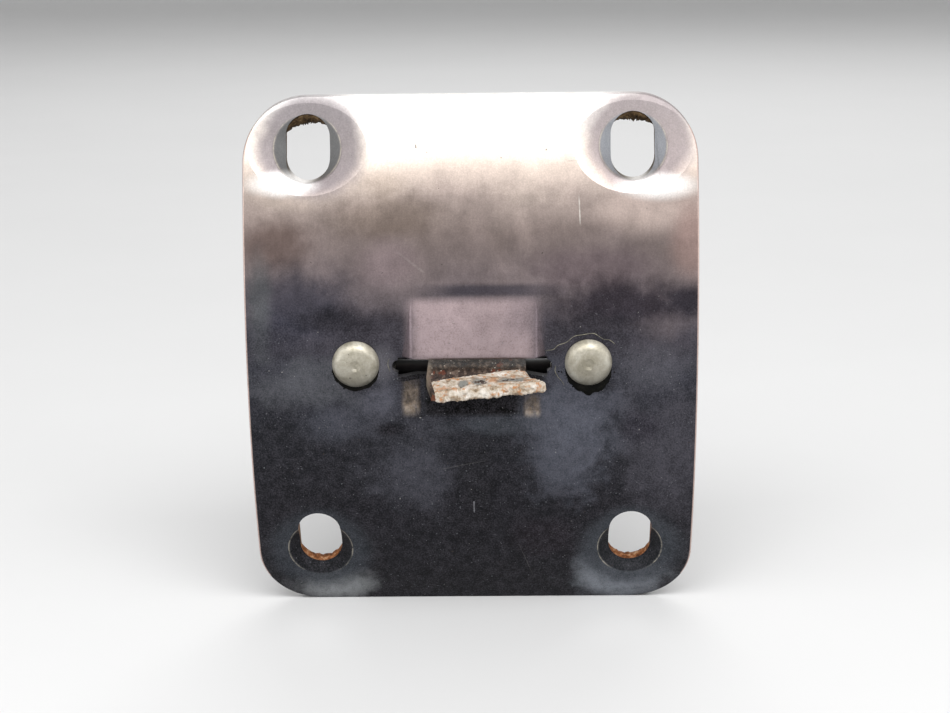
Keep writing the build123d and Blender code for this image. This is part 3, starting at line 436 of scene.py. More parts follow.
# Grain, brushed lines and scuffs, mostly on the dark half, then specks, pits and scratches
def paintWear(tree, coords, colour, mottled, grain, brushed, lowHalf, look):
    fine = ramp(tree, grain, [(0.30, 0.60), (0.5, 1.0), (0.70, 1.55)])
    share = plus(tree, times(tree, lowHalf, 0.70), 0.25)
    colour = blendColour(tree, share, colour, fine, "MULTIPLY")
    lines = ramp(tree, brushed, [(0.30, 0.84), (0.5, 1.0), (0.70, 1.18)])
    colour = blendColour(tree, 0.28, colour, lines, "MULTIPLY")
    soft = ramp(tree, mottled, [(0.30, 0.80), (0.70, 1.24)])
    share = plus(tree, times(tree, lowHalf, 0.85), 0.15)
    colour = blendColour(tree, share, colour, soft, "MULTIPLY")
    scuffed = plus(tree, times(tree, mottled, 0.3), times(tree, grain, 0.7))
    scuffed = times(tree, ramp(tree, scuffed, [(0.44, 0.0), (0.66, 0.50)]), lowHalf)
    colour = blendColour(tree, scuffed, colour, look["scuffTint"])
    for kind in ("specks", "sparks"):
        *pattern, tint, strength = look[kind]
        marks = times(tree, dots(tree, coords, *pattern), lowHalf)
        colour = paint(tree, colour, tint, marks, strength)
    *pattern, tint, strength = look["pits"]
    pits = dots(tree, coords, *pattern)
    colour = paint(tree, colour, tint, pits, strength)
    for *place, brightness in look["scratches"]:
        line = softBox(tree, reachFrom(tree, coords, *place), 0.5)
        line = times(tree, line, ramp(tree, mottled, [(0.35, 0.4), (0.6, 1.0)]))
        tint = look["brightScratch"] if brightness > 0 else look["darkScratch"]
        colour = paint(tree, colour, tint, line, abs(brightness))
    return colour, pits


def makePlateMaterial(look):
    material, tree, shader, coords = startMaterial("tarnishedPlate")
    broad = cloud(tree, coords, 20, 3, 0.55, 0.2)
    patch = cloud(tree, coords, 6, 5, 0.6, 0.2, shift=(0.3, 0.1, 0.2))
    mottled = cloud(tree, coords, 1.6, 4, 0.6, shift=(0.1, 0.6, 0.3))
    grain = cloud(tree, coords, 0.26, 3, 0.65)
    brushed = cloud(tree, coords, 0.45, 3, 0.6, stretch=(1.0, 1.0, 0.14), shift=(0.5, 0.2, 0.7))

    # Bands of tarnish and painted reflection from the foot to the top, then the stains over them
    x, _, z = axes(tree, coords)
    wander = sway(tree, broad, look["wander"] * mm)
    height = plus(tree, z, wander)
    low, high = look["height"]
    level = ramp(tree, height, [(low * mm, 0.0), (high * mm, 1.0)])
    colour = ramp(tree, level, look["bands"])
    lowHalf = ramp(tree, level, [(0.55, 1.0), (0.72, 0.0)])
    for _, *place, ragged, tint, strength in look["stains"]:
        factor = stainFactor(tree, coords, *place, ragged, patch)
        colour = paint(tree, colour, tint, factor, strength)
    cloudy = ramp(tree, patch, [(0.30, 0.70), (0.5, 1.0), (0.72, 1.40)])
    share = plus(tree, times(tree, lowHalf, 0.5), 0.25)
    colour = blendColour(tree, share, colour, cloudy, "MULTIPLY")

    # Painted light on the lip: a painted reflection on its face, a painted shadow above it, a painted
    # highlight on its edge, and painted shade on its sides that face left and right
    for _, *place, soft, tint, strength in look["lip"]:
        colour = paint(tree, colour, tint, softBox(tree, reachFrom(tree, coords, *place), soft), strength)
    facing = axes(tree, addNode(tree, "TexCoord").outputs["Normal"])
    sideways = calc(tree, "ABSOLUTE", facing[0])
    place, tint = look["lipSideShade"]
    sideShade = times(tree, ramp(tree, sideways, [(0.05, 0.0), (0.70, 0.5)]),
                 softBox(tree, reachFrom(tree, coords, *place), 0.1))
    colour = blendColour(tree, sideShade, colour, tint)

    # No gloss where the shade is painted black
    colour, paintedShade = paintRamp(tree, coords, colour, mottled, facing, look)
    metal = calc(tree, "SUBTRACT", look["metal"], times(tree, paintedShade, look["metal"]))
    tree.links.new(metal, shader.inputs["Metallic"])
    most, least = look["specular"]
    gloss = calc(tree, "SUBTRACT", most, times(tree, paintedShade, most - least))
    tree.links.new(gloss, shader.inputs["Specular IOR Level"])

    colour, dull = paintDishes(tree, coords, colour, patch, mottled, facing, look)
    # Painted highlights below the upper dishes
    for place in look["glints"]:
        glint = stainFactor(tree, coords, *place, 0.4, patch)
        colour = paint(tree, colour, look["glintTint"], glint, 0.90)

    # The sheet's outer edges show bare, pinkish metal
    outward = calc(tree, "ABSOLUTE", x)
    outward = calc(tree, "GREATER_THAN", outward, look["edgeFrom"] * mm)
    bare = times(tree, ramp(tree, sideways, [(0.15, 0.0), (0.45, 0.9)]), outward)
    colour = blendColour(tree, bare, colour, look["edgeTint"])

    colour, pits = paintWear(tree, coords, colour, mottled, grain, brushed, lowHalf, look)
    tree.links.new(colour, shader.inputs["Base Color"])
    shine = ramp(tree, patch, [(0.3, 0.30), (0.7, 0.44)])
    shine = plus(tree, shine, ramp(tree, level, [(0.3, 0.10), (0.7, 0.0)]))
    shine = plus(tree, shine, times(tree, dull, 0.22))
    tree.links.new(shine, shader.inputs["Roughness"])
    relief = calc(tree, "SUBTRACT", times(tree, grain, 0.6), pits)
    addBump(tree, shader, relief, 0.25, 0.06)
    return material


def makeMottled(name, look):
    material, tree, shader, coords = startMaterial(name, look["metallic"])
    shader.inputs["Specular IOR Level"].default_value = look.get("specular", 0.5)
    if "stretch" in look:
        coords = addNode(tree, "Mapping", {0: coords, 3: look["stretch"]}).outputs[0]
    broad = cloud(tree, coords, look["patch"], 5, 0.6, 0.5)
    fine = cloud(tree, coords, look["grain"], 5, 0.65, shift=(0.2, 0.5, 0.1))
    colour = ramp(tree, broad, [(0.34, look["dark"]), (0.52, look["middle"]), (0.70, look["light"])])
    grain = ramp(tree, fine, [(0.3, 1 - look["contrast"]), (0.7, 1 + look["contrast"])])
    colour = blendColour(tree, 1.0, colour, grain, "MULTIPLY")
    for tint, size, radius, share, amount in look.get("specks", []):
        marks = dots(tree, coords, size, radius, share, shift=(0.6, size, 0.3))
        colour = blendColour(tree, times(tree, marks, amount), colour, tint)
    if "edge" in look:
        place, width, tint = look["edge"]
        across = axes(tree, coords)[0]
        near = calc(tree, "ABSOLUTE", calc(tree, "SUBTRACT", across, place * mm))
        ragged = sway(tree, fine, width * mm)
        near = plus(tree, near, ragged)
        near = ramp(tree, calc(tree, "DIVIDE", near, width * mm), [(0.4, 0.85), (1.0, 0.0)])
        colour = blendColour(tree, near, colour, tint)
    # Painted shading: darker towards the bottom, lighter towards the top
    if "shade" in look:
        below, above, dim, pale = look["shade"]
        height = axes(tree, coords)[2]
        level = ramp(tree, height, [(below * mm, dim), (above * mm, pale)])
        colour = blendColour(tree, 1.0, colour, level, "MULTIPLY")
    tree.links.new(colour, shader.inputs["Base Color"])
    low, high = look["shine"]
    tree.links.new(ramp(tree, fine, [(0.3, low), (0.7, high)]), shader.inputs["Roughness"])
    addBump(tree, shader, fine, look["bump"], look["depth"])
    return material


finishLooks = {
    # Rivet heads carry painted shading by height, darker at the bottom and lighter at the top
    "rivet_grey": {
        "metallic": 0.50, "patch": 2.6, "grain": 0.30, "contrast": 0.14,
        "dark": (0.25, 0.23, 0.175), "middle": (0.36, 0.335, 0.275), "light": (0.47, 0.45, 0.385),
        "specks": [((0.07, 0.06, 0.05), 0.9, 0.22, 0.30, 0.6)], "shade": (-3.2, 3.4, 0.48, 1.42),
        "shine": (0.36, 0.52), "bump": 0.35, "depth": 0.04,
    },
    "blackened_sheet": {
        "metallic": 0.2, "patch": 6.0, "grain": 0.6, "contrast": 0.16,
        "dark": (0.012, 0.012, 0.013), "middle": (0.020, 0.020, 0.021), "light": (0.034, 0.032, 0.031),
        "specks": [((0.20, 0.19, 0.18), 2.1, 0.14, 0.30, 0.5)],
        "shine": (0.42, 0.60), "bump": 0.3, "depth": 0.04,
    },
    "corroded_vane": {
        "metallic": 0.25, "patch": 0.9, "grain": 0.22, "contrast": 0.50,
        "stretch": (1.0, 0.32, 1.0), "specular": 0.25,
        "dark": (0.010, 0.007, 0.005), "middle": (0.045, 0.030, 0.021), "light": (0.20, 0.150, 0.115),
        "specks": [
            ((0.13, 0.036, 0.015), 1.2, 0.55, 0.45, 0.80), ((0.55, 0.50, 0.42), 0.5, 0.30, 0.45, 0.85),
        ],
        "edge": (-7.5, 1.0, (0.200, 0.160, 0.120)),
        "shine": (0.45, 0.8), "bump": 0.8, "depth": 0.12,
    },
    "bright_steel": {
        "metallic": 1.0, "patch": 4.0, "grain": 0.5, "contrast": 0.08,
        "dark": (0.48, 0.47, 0.44), "middle": (0.60, 0.59, 0.56), "light": (0.68, 0.67, 0.65),
        "specks": [((0.20, 0.16, 0.11), 1.6, 0.14, 0.35, 0.6)],
        "shine": (0.22, 0.40), "bump": 0.2, "depth": 0.03,
    },
    "spring_steel": {
        "metallic": 1.0, "patch": 3.0, "grain": 0.35, "contrast": 0.12,
        "dark": (0.30, 0.29, 0.28), "middle": (0.42, 0.41, 0.40), "light": (0.54, 0.53, 0.52),
        "shine": (0.28, 0.45), "bump": 0.2, "depth": 0.02,
    },
    "bush_nylon": {
        "metallic": 0.0, "patch": 2.2, "grain": 0.25, "contrast": 0.15,
        "dark": (0.010, 0.010, 0.011), "middle": (0.016, 0.016, 0.017), "light": (0.026, 0.025, 0.025),
        "shine": (0.40, 0.58), "bump": 0.3, "depth": 0.02,
    },
    "spacer_aluminium": {
        "metallic": 1.0, "patch": 3.5, "grain": 0.4, "contrast": 0.06,
        "dark": (0.62, 0.63, 0.64), "middle": (0.72, 0.73, 0.74), "light": (0.80, 0.80, 0.81),
        "shine": (0.28, 0.44), "bump": 0.2, "depth": 0.02,
    },
    "switch_phenolic": {
        "metallic": 0.0, "patch": 3.0, "grain": 0.35, "contrast": 0.18,
        "dark": (0.012, 0.011, 0.010), "middle": (0.020, 0.018, 0.016), "light": (0.034, 0.030, 0.026),
        "shine": (0.40, 0.60), "bump": 0.3, "depth": 0.03,
    },
    "switch_red": {
        "metallic": 0.0, "patch": 2.0, "grain": 0.3, "contrast": 0.08,
        "dark": (0.30, 0.035, 0.02), "middle": (0.42, 0.06, 0.035), "light": (0.50, 0.09, 0.05),
        "shine": (0.30, 0.45), "bump": 0.15, "depth": 0.02,
    },
    "terminal_silver": {
        "metallic": 1.0, "patch": 2.6, "grain": 0.3, "contrast": 0.10,
        "dark": (0.42, 0.36, 0.22), "middle": (0.66, 0.61, 0.48), "light": (0.76, 0.73, 0.66),
        "shine": (0.25, 0.45), "bump": 0.2, "depth": 0.02,
    },
    "blade_copper": {
        "metallic": 1.0, "patch": 2.4, "grain": 0.3, "contrast": 0.08,
        "dark": (0.55, 0.28, 0.15), "middle": (0.72, 0.42, 0.24), "light": (0.80, 0.52, 0.33),
        "shine": (0.22, 0.40), "bump": 0.15, "depth": 0.02,
    },
}
finishes = {slot: makeMottled(slot.title().replace("_", ""), look) for slot, look in finishLooks.items()}
finishes["tarnished_plate"] = makePlateMaterial(plateLook)
slotOf = {part["node"]: part["material_slot"] for part in frame["record"]["subparts"]}
for nodeName, nodeObject in frame["nodes"].items():
    for place in nodeObject.material_slots:
        place.material = finishes[slotOf[nodeName]]
print("finishes set on", len(slotOf), "pieces")


def ridePiece(piece, body):
    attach(piece, body)


def makePiece(name, corners, faces, material, body="plate_and_frame"):
    mesh = bpy.data.meshes.new(name)
    mesh.from_pydata([Vector(corner) * mm for corner in corners], [], faces)
    shell = bmesh.new()
    shell.from_mesh(mesh)
    bmesh.ops.remove_doubles(shell, verts=shell.verts, dist=1e-7)
    bmesh.ops.recalc_face_normals(shell, faces=shell.faces)
    shell.to_mesh(mesh)
    shell.free()
    for face in mesh.polygons:
        face.use_smooth = True
    mesh.materials.append(material)
    piece = bpy.data.objects.new(name, mesh)
    bpy.context.scene.collection.objects.link(piece)
    ridePiece(piece, body)


# Corners and faces of closed tubes, strips and wedges: one ring of corners after another
def ringFaces(count, ring, closed=False, start=0):
    faces = []
    for i in range(count if closed else count - 1):
        for j in range(ring):
            a, b = start + i * ring + j, start + i * ring + (j + 1) % ring
            c, d = start + (i + 1) % count * ring + (j + 1) % ring, start + (i + 1) % count * ring + j
            faces.append((a, b, c, d))
    if not closed:
        faces.append(tuple(start + j for j in reversed(range(ring))))
        faces.append(tuple(start + (count - 1) * ring + j for j in range(ring)))
    return faces


# The plate is bent round a nose whose middle lies behind it, and its back is at y = 0
plateCurve = {"front": 100.0, "back": 98.4}
rivetPlace = (19.6, 0.15)


def plateFrontY(z):
    return plateCurve["back"] - math.sqrt(plateCurve["front"] ** 2 - z**2)


def plateBackY(z):
    return plateCurve["back"] - math.sqrt(plateCurve["back"] ** 2 - z**2)


# Points along a smooth line through the given ones
def smoothLine(points, steps):
    points = [Vector(point) for point in points]
    ends = [2 * points[0] - points[1]] + points + [2 * points[-1] - points[-2]]
    line = []
    for i in range(1, len(ends) - 2):
        a, b, c, d = ends[i - 1:i + 3]
        for step in range(steps):
            t = step / steps
            line.append(0.5 * ((2 * b) + (c - a) * t + (2 * a - 5 * b + 4 * c - d) * t**2
                               + (3 * b - a - 3 * c + d) * t**3))
    return line + [points[-1]]


# Share of its full width that a strip has near its ends
def taperAt(i, last):
    return min(1, 0.25 + min(i, last - i) / 3)


def makeBead(name, paths, radius, rough, material, steps=8, ring=8):
    corners, faces = [], []
    for number, path in enumerate(paths):
        line = smoothLine(path, steps)
        start = len(corners)
        for i, point in enumerate(line):
            ahead = (line[min(i + 1, len(line) - 1)] - line[max(i - 1, 0)]).normalized()
            side = ahead.cross(Vector((0, 1, 0))).normalized()
            out = side.cross(ahead)
            swell = 1 + rough * noise.noise(Vector((i * 0.6, number * 3.1, 0.5)))
            taper = taperAt(i, len(line) - 1)
            for j in range(ring):
                turn = 2 * math.pi * j / ring
                reach = radius * swell * taper
                corners.append(point + (side * math.cos(turn) + out * math.sin(turn)) * reach)
        faces += ringFaces(len(line), ring, start=start)
    makePiece(name, corners, faces, material)


tickLook = {"top": -25.6, "bottom": -27.85, "width": 0.3, "proud": 0.04, "steps": 10}


def makeIndexTick(look):
    material = makeMottled("wornTick", {
        "metallic": 0.6, "patch": 1.2, "grain": 0.3, "contrast": 0.3,
        "dark": (0.10, 0.10, 0.11), "middle": (0.17, 0.17, 0.19), "light": (0.26, 0.26, 0.28),
        "shine": (0.4, 0.6), "bump": 0.4, "depth": 0.03,
    })
    corners = []
    steps = look["steps"]
    for i in range(steps + 1):
        z = look["top"] + (look["bottom"] - look["top"]) * i / steps
        half = look["width"] / 2 * math.sin(math.pi * taperAt(i, steps) / 2 + 0.15)
        for x, out in ((-half, -0.02), (-half * 0.6, look["proud"]), (half * 0.6, look["proud"]),
                       (half, -0.02), (0, -0.05)):
            corners.append((x, plateFrontY(z) - out, z))
    makePiece("index_tick", corners, ringFaces(steps + 1, 5), material)


makeIndexTick(tickLook)

# A lumpy shell of salt and rust round the vane's paddle. Where it dips under the steel,
# the bare vane shows through.
crustLook = {
    "pivot": (10.0, -4.2),
    "droop": 0.5,
    "rise": 3.6,
    "root": {"y": -9.8, "middle": 0.825, "half": 8.225, "lift": 0.0, "twist": 0.0, "sheet": 1.5},
    "tip": {"y": -17.6, "middle": 2.8, "half": 9.2, "lift": 0.45, "twist": 5.5, "sheet": 1.3},
    # y of the back edge on top, left and right, and underneath, and what hangs over each side
    "backTop": (-12.4, -6.7),
    "backUnder": -13.5,
    "overhang": (-0.55, 0.12),
    "halfWidth": 9.0,
    "across": 230,
    "around": 92,
    # Shares of the way round that lie on top and round the front edge
    "topShare": 0.55,
    "frontShare": 0.20,
    "seed": 11.3,
    # Thickness: the same all over, by lumps and by pebbles, and what the front edge has besides
    "thickness": (0.20, 0.13, 0.07),
    "frontThickness": (0.06, 0.18, 0.06),
    "frontReach": 2.2,
    "ridge": {"height": 0.34, "middle": 0.55, "half": 0.50, "depth": 2.8},
    "backBevel": 0.6,
    "backBead": 0.08,
    "bareDepth": 0.17,
    "sunkEdge": 0.25,
    "sunkEnd": 0.10,
    "bare": [
        # x, y, half width, half depth of a place where the crust has come off
        (-1.3, -14.4, 0.95, 2.2),
        (1.3, -13.5, 1.35, 2.6),
        (6.6, -13.3, 2.5, 1.9),
    ],
    "orange": [
        (3.6, -13.3, 1.1, 2.4),
        (-4.4, -16.2, 1.6, 0.9),
        (9.4, -14.9, 1.3, 1.3),
        (5.2, -16.6, 1.2, 0.8),
    ],
    "salt": [
        (0.30, (0.11, 0.08, 0.05)), (0.40, (0.30, 0.22, 0.145)), (0.49, (0.49, 0.42, 0.34)),
        (0.66, (0.68, 0.63, 0.57)),
    ],
    "rustTint": (0.42, 0.18, 0.06),
    "orangeTint": (0.45, 0.22, 0.10),
    "rimAndUnderShadeTint": (0.20, 0.15, 0.11),
    "steelTint": (0.215, 0.215, 0.195),
}


def overVane(look, x, along, rise):
    droop = math.radians(look["droop"])
    pivotY, pivotZ = look["pivot"]
    return (
        x,
        pivotY + along * math.cos(droop) - rise * math.sin(droop),
        pivotZ + along * math.sin(droop) + rise * math.cos(droop),
    )


def paddlePoint(look, u, y, h):
    root, tip = look["root"], look["tip"]
    t = (y - root["y"]) / (tip["y"] - root["y"])
    half, middle, lift, twist = (
        root[key] + (tip[key] - root[key]) * max(0, t) for key in ("half", "middle", "lift", "twist")
    )
    turn = math.radians(twist)
    x = middle + u * half * math.cos(turn) - h * math.sin(turn)
    rise = look["rise"] + lift + u * half * math.sin(turn) + h * math.cos(turn)
    return x, y - look["pivot"][0], rise


def crustMaterial(look):
    material, tree, shader, coords = startMaterial("saltCrust")
    patch = cloud(tree, coords, 1.5, 5, 0.65, 0.3)
    fine = cloud(tree, coords, 0.34, 4, 0.7, shift=(0.1, 0.4, 0.2))
    colour = ramp(tree, patch, look["salt"])
    rust = cloud(tree, coords, 1.1, 4, 0.6, 0.3, shift=(0.5, 0.9, 0.1))
    colour = blendColour(tree, ramp(tree, rust, [(0.54, 0.0), (0.63, 0.9)]), colour, look["rustTint"])

    # How near a point is to a place on top, with a ragged edge
    def over(x, y, halfWidth, halfDepth, edges):
        moved = addNode(tree, "VectorMath", {0: coords, 1: (x * mm, y * mm, 0)}, operation="SUBTRACT")
        scale = (1 / (halfWidth * mm), 1 / (halfDepth * mm), 0)
        scaled = addNode(tree, "VectorMath", {0: moved.outputs[0], 1: scale}, operation="MULTIPLY")
        reach = lengthOf(tree, scaled.outputs[0])
        return ramp(tree, plus(tree, reach, sway(tree, patch, 1.2)), edges)

    for place in look["orange"]:
        colour = blendColour(tree, over(*place, [(0.4, 0.75), (1.0, 0.0)]), colour, look["orangeTint"])
    facingUp = axes(tree, addNode(tree, "TexCoord").outputs["Normal"])[2]
    onTop = ramp(tree, facingUp, [(0.55, 0.0), (0.75, 1.0)])
    for place in look["bare"]:
        rim = times(tree, over(*place, [(0.85, 1.0), (1.15, 0.0)]), onTop)
        colour = paint(tree, colour, look["rimAndUnderShadeTint"], rim, 0.8)
        bare = times(tree, over(*place, [(0.70, 1.0), (0.85, 0.0)]), onTop)
        colour = blendColour(tree, bare, colour, look["steelTint"])
    # Painted shade on the crust's faces that face down
    under = ramp(tree, facingUp, [(-0.6, 1.0), (-0.1, 0.0)])
    colour = paint(tree, colour, look["rimAndUnderShadeTint"], under, 0.6)
    grain = ramp(tree, fine, [(0.3, 0.55), (0.5, 1.0), (0.7, 1.15)])
    colour = blendColour(tree, 0.55, colour, grain, "MULTIPLY")
    tree.links.new(colour, shader.inputs["Base Color"])
    tree.links.new(ramp(tree, fine, [(0.3, 0.7), (0.7, 0.95)]), shader.inputs["Roughness"])
    addBump(tree, shader, fine, 0.5, 0.10)
    return material


# One point of the way round: y, which side of the sheet it is on, and its outward direction
def crustRound(look, share, backTop, backUnder):
    front, topShare, frontShare = look["tip"]["y"], look["topShare"], look["frontShare"]
    if share < topShare:
        return backTop + (front - backTop) * share / topShare, 1.0, 0.0, 1.0
    if share < topShare + frontShare:
        turn = (share - topShare) / frontShare * math.pi
        return front, math.cos(turn), -math.sin(turn), math.cos(turn)
    t = (share - topShare - frontShare) / (1 - topShare - frontShare)
    return front + (backUnder - front) * t, -1.0, 0.0, -1.0


def crustThickness(look, where, u, backTop, onTop):
    x, y, _ = where
    lump = noise.fractal(where * 0.75 + Vector((look["seed"], 0, 0)), 0.8, 2.1, 4)
    pebble = noise.fractal(where * 2.6 + Vector((0, look["seed"], 0)), 0.7, 2.1, 3)
    plain, lumps, pebbles = look["thickness"]
    more, moreLumps, morePebbles = look["frontThickness"]
    nearFront = max(0, 1 - (y - look["tip"]["y"]) / look["frontReach"])
    thick = plain + lumps * lump + pebbles * pebble
    thick += nearFront * (more + moreLumps * max(0, lump) + morePebbles * pebble)
    if onTop:
        ridge = look["ridge"]
        beside = max(0, 1 - abs(u - ridge["middle"]) / ridge["half"])
        thick += ridge["height"] * beside * max(0, 1 - (backTop - y) / ridge["depth"])
        for bareX, bareY, halfWidth, halfDepth in look["bare"]:
            away = math.hypot((x - bareX) / halfWidth, (y - bareY) / halfDepth) + 0.5 * lump
            thick -= look["bareDepth"] * max(0, min(1, (1.1 - away) * 3))
        fromBack = min(1, (backTop - y) / look["backBevel"])
        thick = thick * (0.45 + 0.55 * fromBack) + look["backBead"] * (1 - abs(2 * fromBack - 1))
    return thick


def makeTipCrust(look):
    root, tip, seed = look["root"], look["tip"], look["seed"]
    across, around = look["across"], look["around"]
    overLeft, overRight = (over / look["halfWidth"] for over in look["overhang"])
    leftBack, rightBack = look["backTop"]
    corners = []
    for i in range(across + 1):
        u = -1.0 - overLeft + (2.0 + overLeft + overRight) * i / across
        endShare = min(1, min(i, across - i) / 5)
        ragged = noise.fractal(Vector((u * 4.2, seed, 0)), 0.8, 2.2, 4)
        backTop = leftBack + (rightBack - leftBack) * min(1, (u + 1) / 1.75) + 0.55 * ragged
        backUnder = look["backUnder"] + 1.2 * noise.noise(Vector((u * 5.0, 0, seed)))
        for j in range(around + 1):
            y, side, outY, outZ = crustRound(look, j / around, backTop, backUnder)
            toTip = min(1, max(0, (root["y"] - y) / (root["y"] - tip["y"])))
            h = side * (root["sheet"] + (tip["sheet"] - root["sheet"]) * toTip) / 2
            x, along, rise = paddlePoint(look, u, y, h)
            thick = crustThickness(look, Vector((x, y, h)), u, backTop, outZ > 0.5)
            if j in (0, around):
                thick = -look["sunkEdge"]
            thick = thick * endShare - look["sunkEnd"] * (1 - endShare)
            corners.append(overVane(look, x, along + outY * thick, rise + outZ * thick))
    faces = ringFaces(across + 1, around + 1)
    makePiece("tip_crust", corners, faces, crustMaterial(look), "vane_body")


makeTipCrust(crustLook)
print("tick and crust made")

# Black dirt packed under the two rivet heads: a wedge that thins out over the plate
dirtLook = {
    "headRadius": 3.96,
    "tucked": 0.35,
    "lean": 0.15,
    "pieces": [
        # name, side, first and last angle in degrees, width, run at the lowest place, seed
        ("rivet_dirt_left", -1, 190, 345, 1.00, 0.1, 2.0),
        ("rivet_dirt_right", 1, 195, 345, 1.10, 1.0, 5.0),
    ],
    "steps": 90,
}


def dirtMaterial():
    return makeMottled("packedDirt", {
        "metallic": 0.0, "patch": 1.4, "grain": 0.25, "contrast": 0.35, "specular": 0.08,
        "dark": (0.002, 0.002, 0.002), "middle": (0.004, 0.004, 0.003), "light": (0.012, 0.010, 0.009),
        "shine": (0.6, 0.9), "bump": 0.8, "depth": 0.08,
    })


def makeDirt(look, material):
    (x, z), radius, steps = rivetPlace, look["headRadius"], look["steps"]
    for name, side, first, last, width, run, seed in look["pieces"]:
        corners = []
        for i in range(steps + 1):
            share = i / steps
            turn = math.radians(first + (last - first) * share)
            fade = math.sin(math.pi * share) ** 0.6
            ragged = noise.fractal(Vector((share * 9, seed, 0)), 0.8, 2.1, 4)
            low = max(0, -math.sin(turn - look["lean"]) - 0.4) / 0.6
            spread = width * (0.80 + 0.25 * ragged) + run * low * (0.9 + 0.2 * ragged)
            inner, outer = radius - look["tucked"], radius + fade * spread
            for reach, out in ((inner, -0.12), (inner, 0.30), (radius + 0.05, 0.22 * fade),
                               ((radius + outer) / 2, 0.12 * fade), (outer, -0.02), (outer - 0.1, -0.12)):
                px, pz = side * x + reach * math.cos(turn), z + reach * math.sin(turn)
                corners.append((px, plateFrontY(pz) - out, pz))
        makePiece(name, corners, ringFaces(steps + 1, 6), material)


packedDirt = dirtMaterial()
makeDirt(dirtLook, packedDirt)

# Rust caked in the ends of the screw slots, thicker towards the back of the sheet
rustLook = {
    "radius": 3.7,
    "keyed": 0.12,
    "steps": 70,
    "x": 27.3,
    # z of the arc, and front and back y at its sides and at its end
    "arcs": {"brown": (37.45, (7.5, 9.1), (7.72, 9.25)), "orange": (-35.15, (7.4, 8.5), (8.35, 9.90))},
    "tints": {
        "brown": {
            "dark": (0.020, 0.012, 0.006), "middle": (0.060, 0.036, 0.016), "light": (0.150, 0.100, 0.050),
        },
        "orange": {
            "dark": (0.070, 0.026, 0.010), "middle": (0.300, 0.115, 0.045), "light": (0.520, 0.330, 0.190),
        },
    },
    "slots": [
        # name, kind, side, first and last angle, thickness at front and back, seed
        ("slot_rust_upper_left", "brown", -1, 28, 172, (0.60, 1.85), 1.0),
        ("slot_rust_upper_right", "brown", 1, 22, 150, (0.60, 1.70), 4.0),
        ("slot_rust_lower_left", "orange", -1, 188, 352, (0.10, 0.65), 7.0),
        ("slot_rust_lower_right", "orange", 1, 192, 348, (0.10, 0.60), 9.0),
    ],
}


def makeSlotRust(look):
    materials = {}
    for kind, tints in look["tints"].items():
        materials[kind] = makeMottled(kind + "Rust", {
            "metallic": 0.0, "patch": 0.9, "grain": 0.2, "contrast": 0.35, "specular": 0.15,
            "shine": (0.6, 0.9), "bump": 0.7, "depth": 0.06, **tints,
        })
    radius, steps, keyed = look["radius"], look["steps"], -look["keyed"]
    for name, kind, side, first, last, thickness, seed in look["slots"]:
        z, atSide, atEnd = look["arcs"][kind]
        corners = []
        for i in range(steps + 1):
            share = i / steps
            turn = math.radians(first + (last - first) * share)
            fade = math.sin(math.pi * share) ** 0.7
            front, back = (a + (b - a) * abs(math.sin(turn)) for a, b in zip(atSide, atEnd))
            lump = noise.fractal(Vector((share * 11, seed, 0)), 0.8, 2.1, 4)
            thin, thick = (value * fade * (1 + 0.35 * lump) + 0.04 for value in thickness)
            middle = (thin + thick) / 2 * (1.05 + 0.25 * noise.noise(Vector((share * 17, 0, seed))))
            for depth, reach in ((front + 0.25, keyed), (front + 0.03, thin * 0.5), (front + 0.15, thin),
                                 ((front + back) / 2, middle), (back - 0.1, thick), (back, thick * 0.6),
                                 (back - 0.15, keyed)):
                away = radius - reach
                corners.append((side * look["x"] + away * math.cos(turn), depth, z + away * math.sin(turn)))
        makePiece(name, corners, ringFaces(steps + 1, 7), materials[kind])


makeSlotRust(rustLook)

# Thin sealant: hair lines round the right rivet and at the slot's end, and beads behind
sealantLook = {
    "frontLines": [
        [(12.3, 2.2), (13.7, 2.4), (14.5, 3.1), (15.9, 3.6), (17.2, 4.6), (18.8, 4.9), (20.4, 5.1),
         (21.2, 4.7), (22.1, 4.1), (23.2, 3.9), (24.1, 3.2)],
        [(14.1, -0.4), (14.0, -1.4), (14.5, -2.4), (15.0, -3.0), (15.6, -3.9)],
        [(-13.9, 1.1), (-14.2, 0.1), (-13.8, -1.3)],
    ],
    "frontRadius": 0.055,
    "flange": {
        "across": (15.6, 20.0, 23.5, 25.15), "top": 5.15, "bottom": -13.15,
        "side": (3.0, -1.0, -4.0, -7.0, -11.0),
    },
    "backRadius": 0.42,
}


def makeSealant(look):
    material = makeMottled("agedSealant", {
        "metallic": 0.0, "patch": 1.8, "grain": 0.3, "contrast": 0.25,
        "dark": (0.07, 0.065, 0.05), "middle": (0.16, 0.15, 0.11), "light": (0.28, 0.265, 0.20),
        "shine": (0.5, 0.75), "bump": 0.6, "depth": 0.05,
    })
    lines = [[(x, plateFrontY(z) - 0.02, z) for x, z in line] for line in look["frontLines"]]
    makeBead("sealant_hair_line", lines, look["frontRadius"], 0.7, material)
    edge = look["flange"]
    inner, middle, corner, outer = edge["across"]
    outline = [(inner, edge["top"]), (middle, edge["top"]), (corner, edge["top"] - 0.1)]
    outline += [(outer, z) for z in edge["side"]]
    outline += [(corner, edge["bottom"] + 0.1), (middle, edge["bottom"]), (inner, edge["bottom"])]
    beads = [[(side * x, plateBackY(z) + 0.25, z) for x, z in outline] for side in (-1, 1)]
    makeBead("flange_sealant", beads, look["backRadius"], 0.45, material, steps=10, ring=10)


makeSealant(sealantLook)
print("dirt and sealant made")


